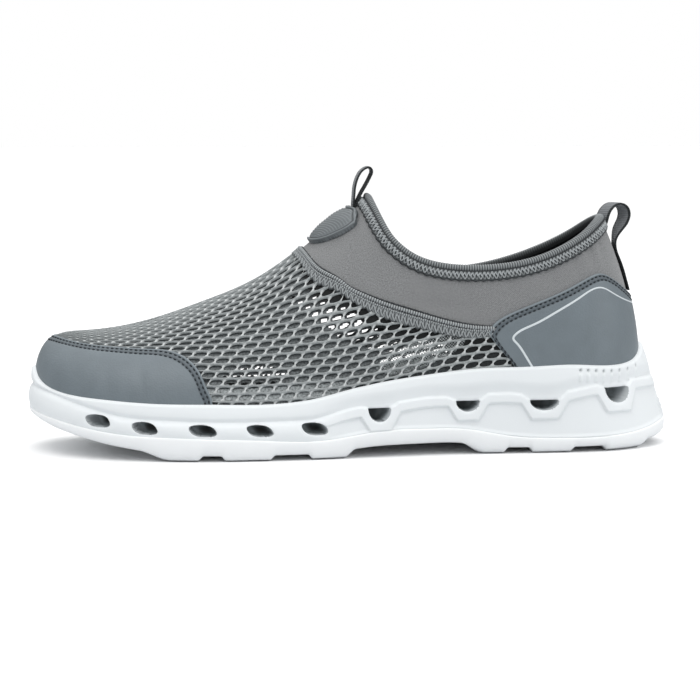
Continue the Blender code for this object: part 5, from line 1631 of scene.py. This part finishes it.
# The loop's sewn-down end, a short dark fold between it and the collar's edge
FRONT_FOLD = np.array([(1.4, -1.4), (3.6, 0.8), (6.0, 2.9), (8.4, 5.0)])
webbing("front_loop_fold", FRONT_FOLD + FRONT_FOOT, 8.0, 3.0, False, "front_pull_loop",
        lambda share: 1 + 0 * share, lambda share: 0 * share)
# Over the heel's rim, and then down its back at these girth shares, on the skin
HEEL_BEND = np.array([(116.4, 96.5), (116.6, 101.0), (117.6, 105.4), (120.0, 108.9), (123.0, 110.2),
                      (125.8, 109.0), (127.2, 105.8), (126.4, 102.0), (124.4, 98.4), (123.0, 95.2)])
HEEL_DOWN, HEEL_HIGH = np.array([0.80, 0.70, 0.60, 0.53]), 0.9
heel_strip = skin(0 * HEEL_DOWN, HEEL_DOWN, LATERAL, 0 * HEEL_DOWN + HEEL_HIGH)[0]
heel_loop = np.concatenate([HEEL_BEND, heel_strip[:, [0, 2]]])
webbing("heel_loop_webbing", heel_loop, 9.0, 0.0, False, "heel_pull_loop",
        lambda share: ease((share - 0.58) / 0.08),
        lambda share: 27 * ease(share / 0.1) * ease((0.62 - share) / 0.16))

# %% [markdown]
# ## Floor, light and camera
# The photo is a plain product shot on white. One bright sky would give light from all sides and no form, so
# a pale floor, a sky that is bright overhead and three large soft lamps share the work. The camera stands
# at the photo's angle, a little above the floor and turned toward the toe.

# %% Floor and sky
# Pale floor: no shine at all, so that only the shoe's soft shadow shows on it
floor_look, tree, inputs = new_material("pale floor", "#fcfdfd", 1.0)
inputs["Specular IOR Level"].default_value = 0.0
# The camera sees it white, and it throws a little less light back up at the shoe
seen = node(tree, "LightPath", {}).outputs["Is Camera Ray"]
ramp = node(tree, "ValToRGB", {"Fac": seen})
ramp.color_ramp.elements[0].color = linear("#dadcde")
ramp.color_ramp.elements[1].color = linear("#ffffff")
tree.links.new(ramp.outputs["Color"], inputs["Base Color"])
bpy.ops.mesh.primitive_plane_add(size=12)
floor = bpy.context.object
floor.name = "floor"
floor.data.materials.append(floor_look)
stage = [floor]

# The sky is bright overhead and dim at eye level, as under a large softbox. The camera sees it plain white
world = bpy.data.worlds.new("white studio")
bpy.context.scene.world = world
world.use_nodes = True
tree = world.node_tree
up = node(tree, "SeparateXYZ", {"Vector": node(tree, "TexCoord", {}).outputs["Generated"]}).outputs["Z"]
dome = node(tree, "MapRange", {"Value": up, "To Min": 0.14, "To Max": 1.46})
seen = node(tree, "LightPath", {}).outputs["Is Camera Ray"]
strength = node(tree, "Mix", {0: seen, 2: dome.outputs["Result"], 3: 1.0})
tree.links.new(strength.outputs[0], tree.nodes["Background"].inputs["Strength"])
tree.nodes["Background"].inputs["Color"].default_value = linear("#ffffff")
print("stage:", floor.name, "and", world.name)

# %% Lamps
# Name, place in metres, size and power
LAMPS = [("key", (-0.35, -0.75, 1.35), 0.9, 5.6), ("back", (0.2, 0.8, 1.3), 1.0, 4.0),
         ("heel", (1.1, -0.45, 0.5), 0.7, 2.2)]
# They all point at the middle of the shoe
LIT = Vector((0, 0, 0.05))
for name, spot, size, power in LAMPS:
    lamp = bpy.data.lights.new(name, "AREA")
    lamp.size, lamp.energy = size, power
    made = bpy.data.objects.new(name, lamp)
    made.location = spot
    made.rotation_euler = (LIT - Vector(spot)).to_track_quat("-Z", "Y").to_euler()
    bpy.context.collection.objects.link(made)
    stage.append(made)
print(len(LAMPS), "lamps")

# %% Camera
AZIMUTH, ELEVATION, DISTANCE, LENS = np.radians(-6.0), np.radians(5.75), 1.2, 134.5
TARGET = Vector((0, 0, 0.0435))
level = np.cos(ELEVATION)
away = Vector((np.sin(AZIMUTH) * level, -np.cos(AZIMUTH) * level, np.sin(ELEVATION)))
camera = bpy.data.objects.new("camera", bpy.data.cameras.new("camera"))
camera.data.lens = LENS
camera.location = TARGET + away * DISTANCE
camera.rotation_euler = (-away).to_track_quat("-Z", "Y").to_euler()
bpy.context.collection.objects.link(camera)
bpy.context.scene.camera = camera
bpy.context.scene.view_settings.view_transform = "Standard"
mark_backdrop(*stage)
print("camera", DISTANCE, "m away with a lens of", LENS, "mm")

# %% [markdown]
# ## Size
# The dressed shoe should be as large as its solids, so the box round the dressed pieces is worked out here.

# %% Size
low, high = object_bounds()
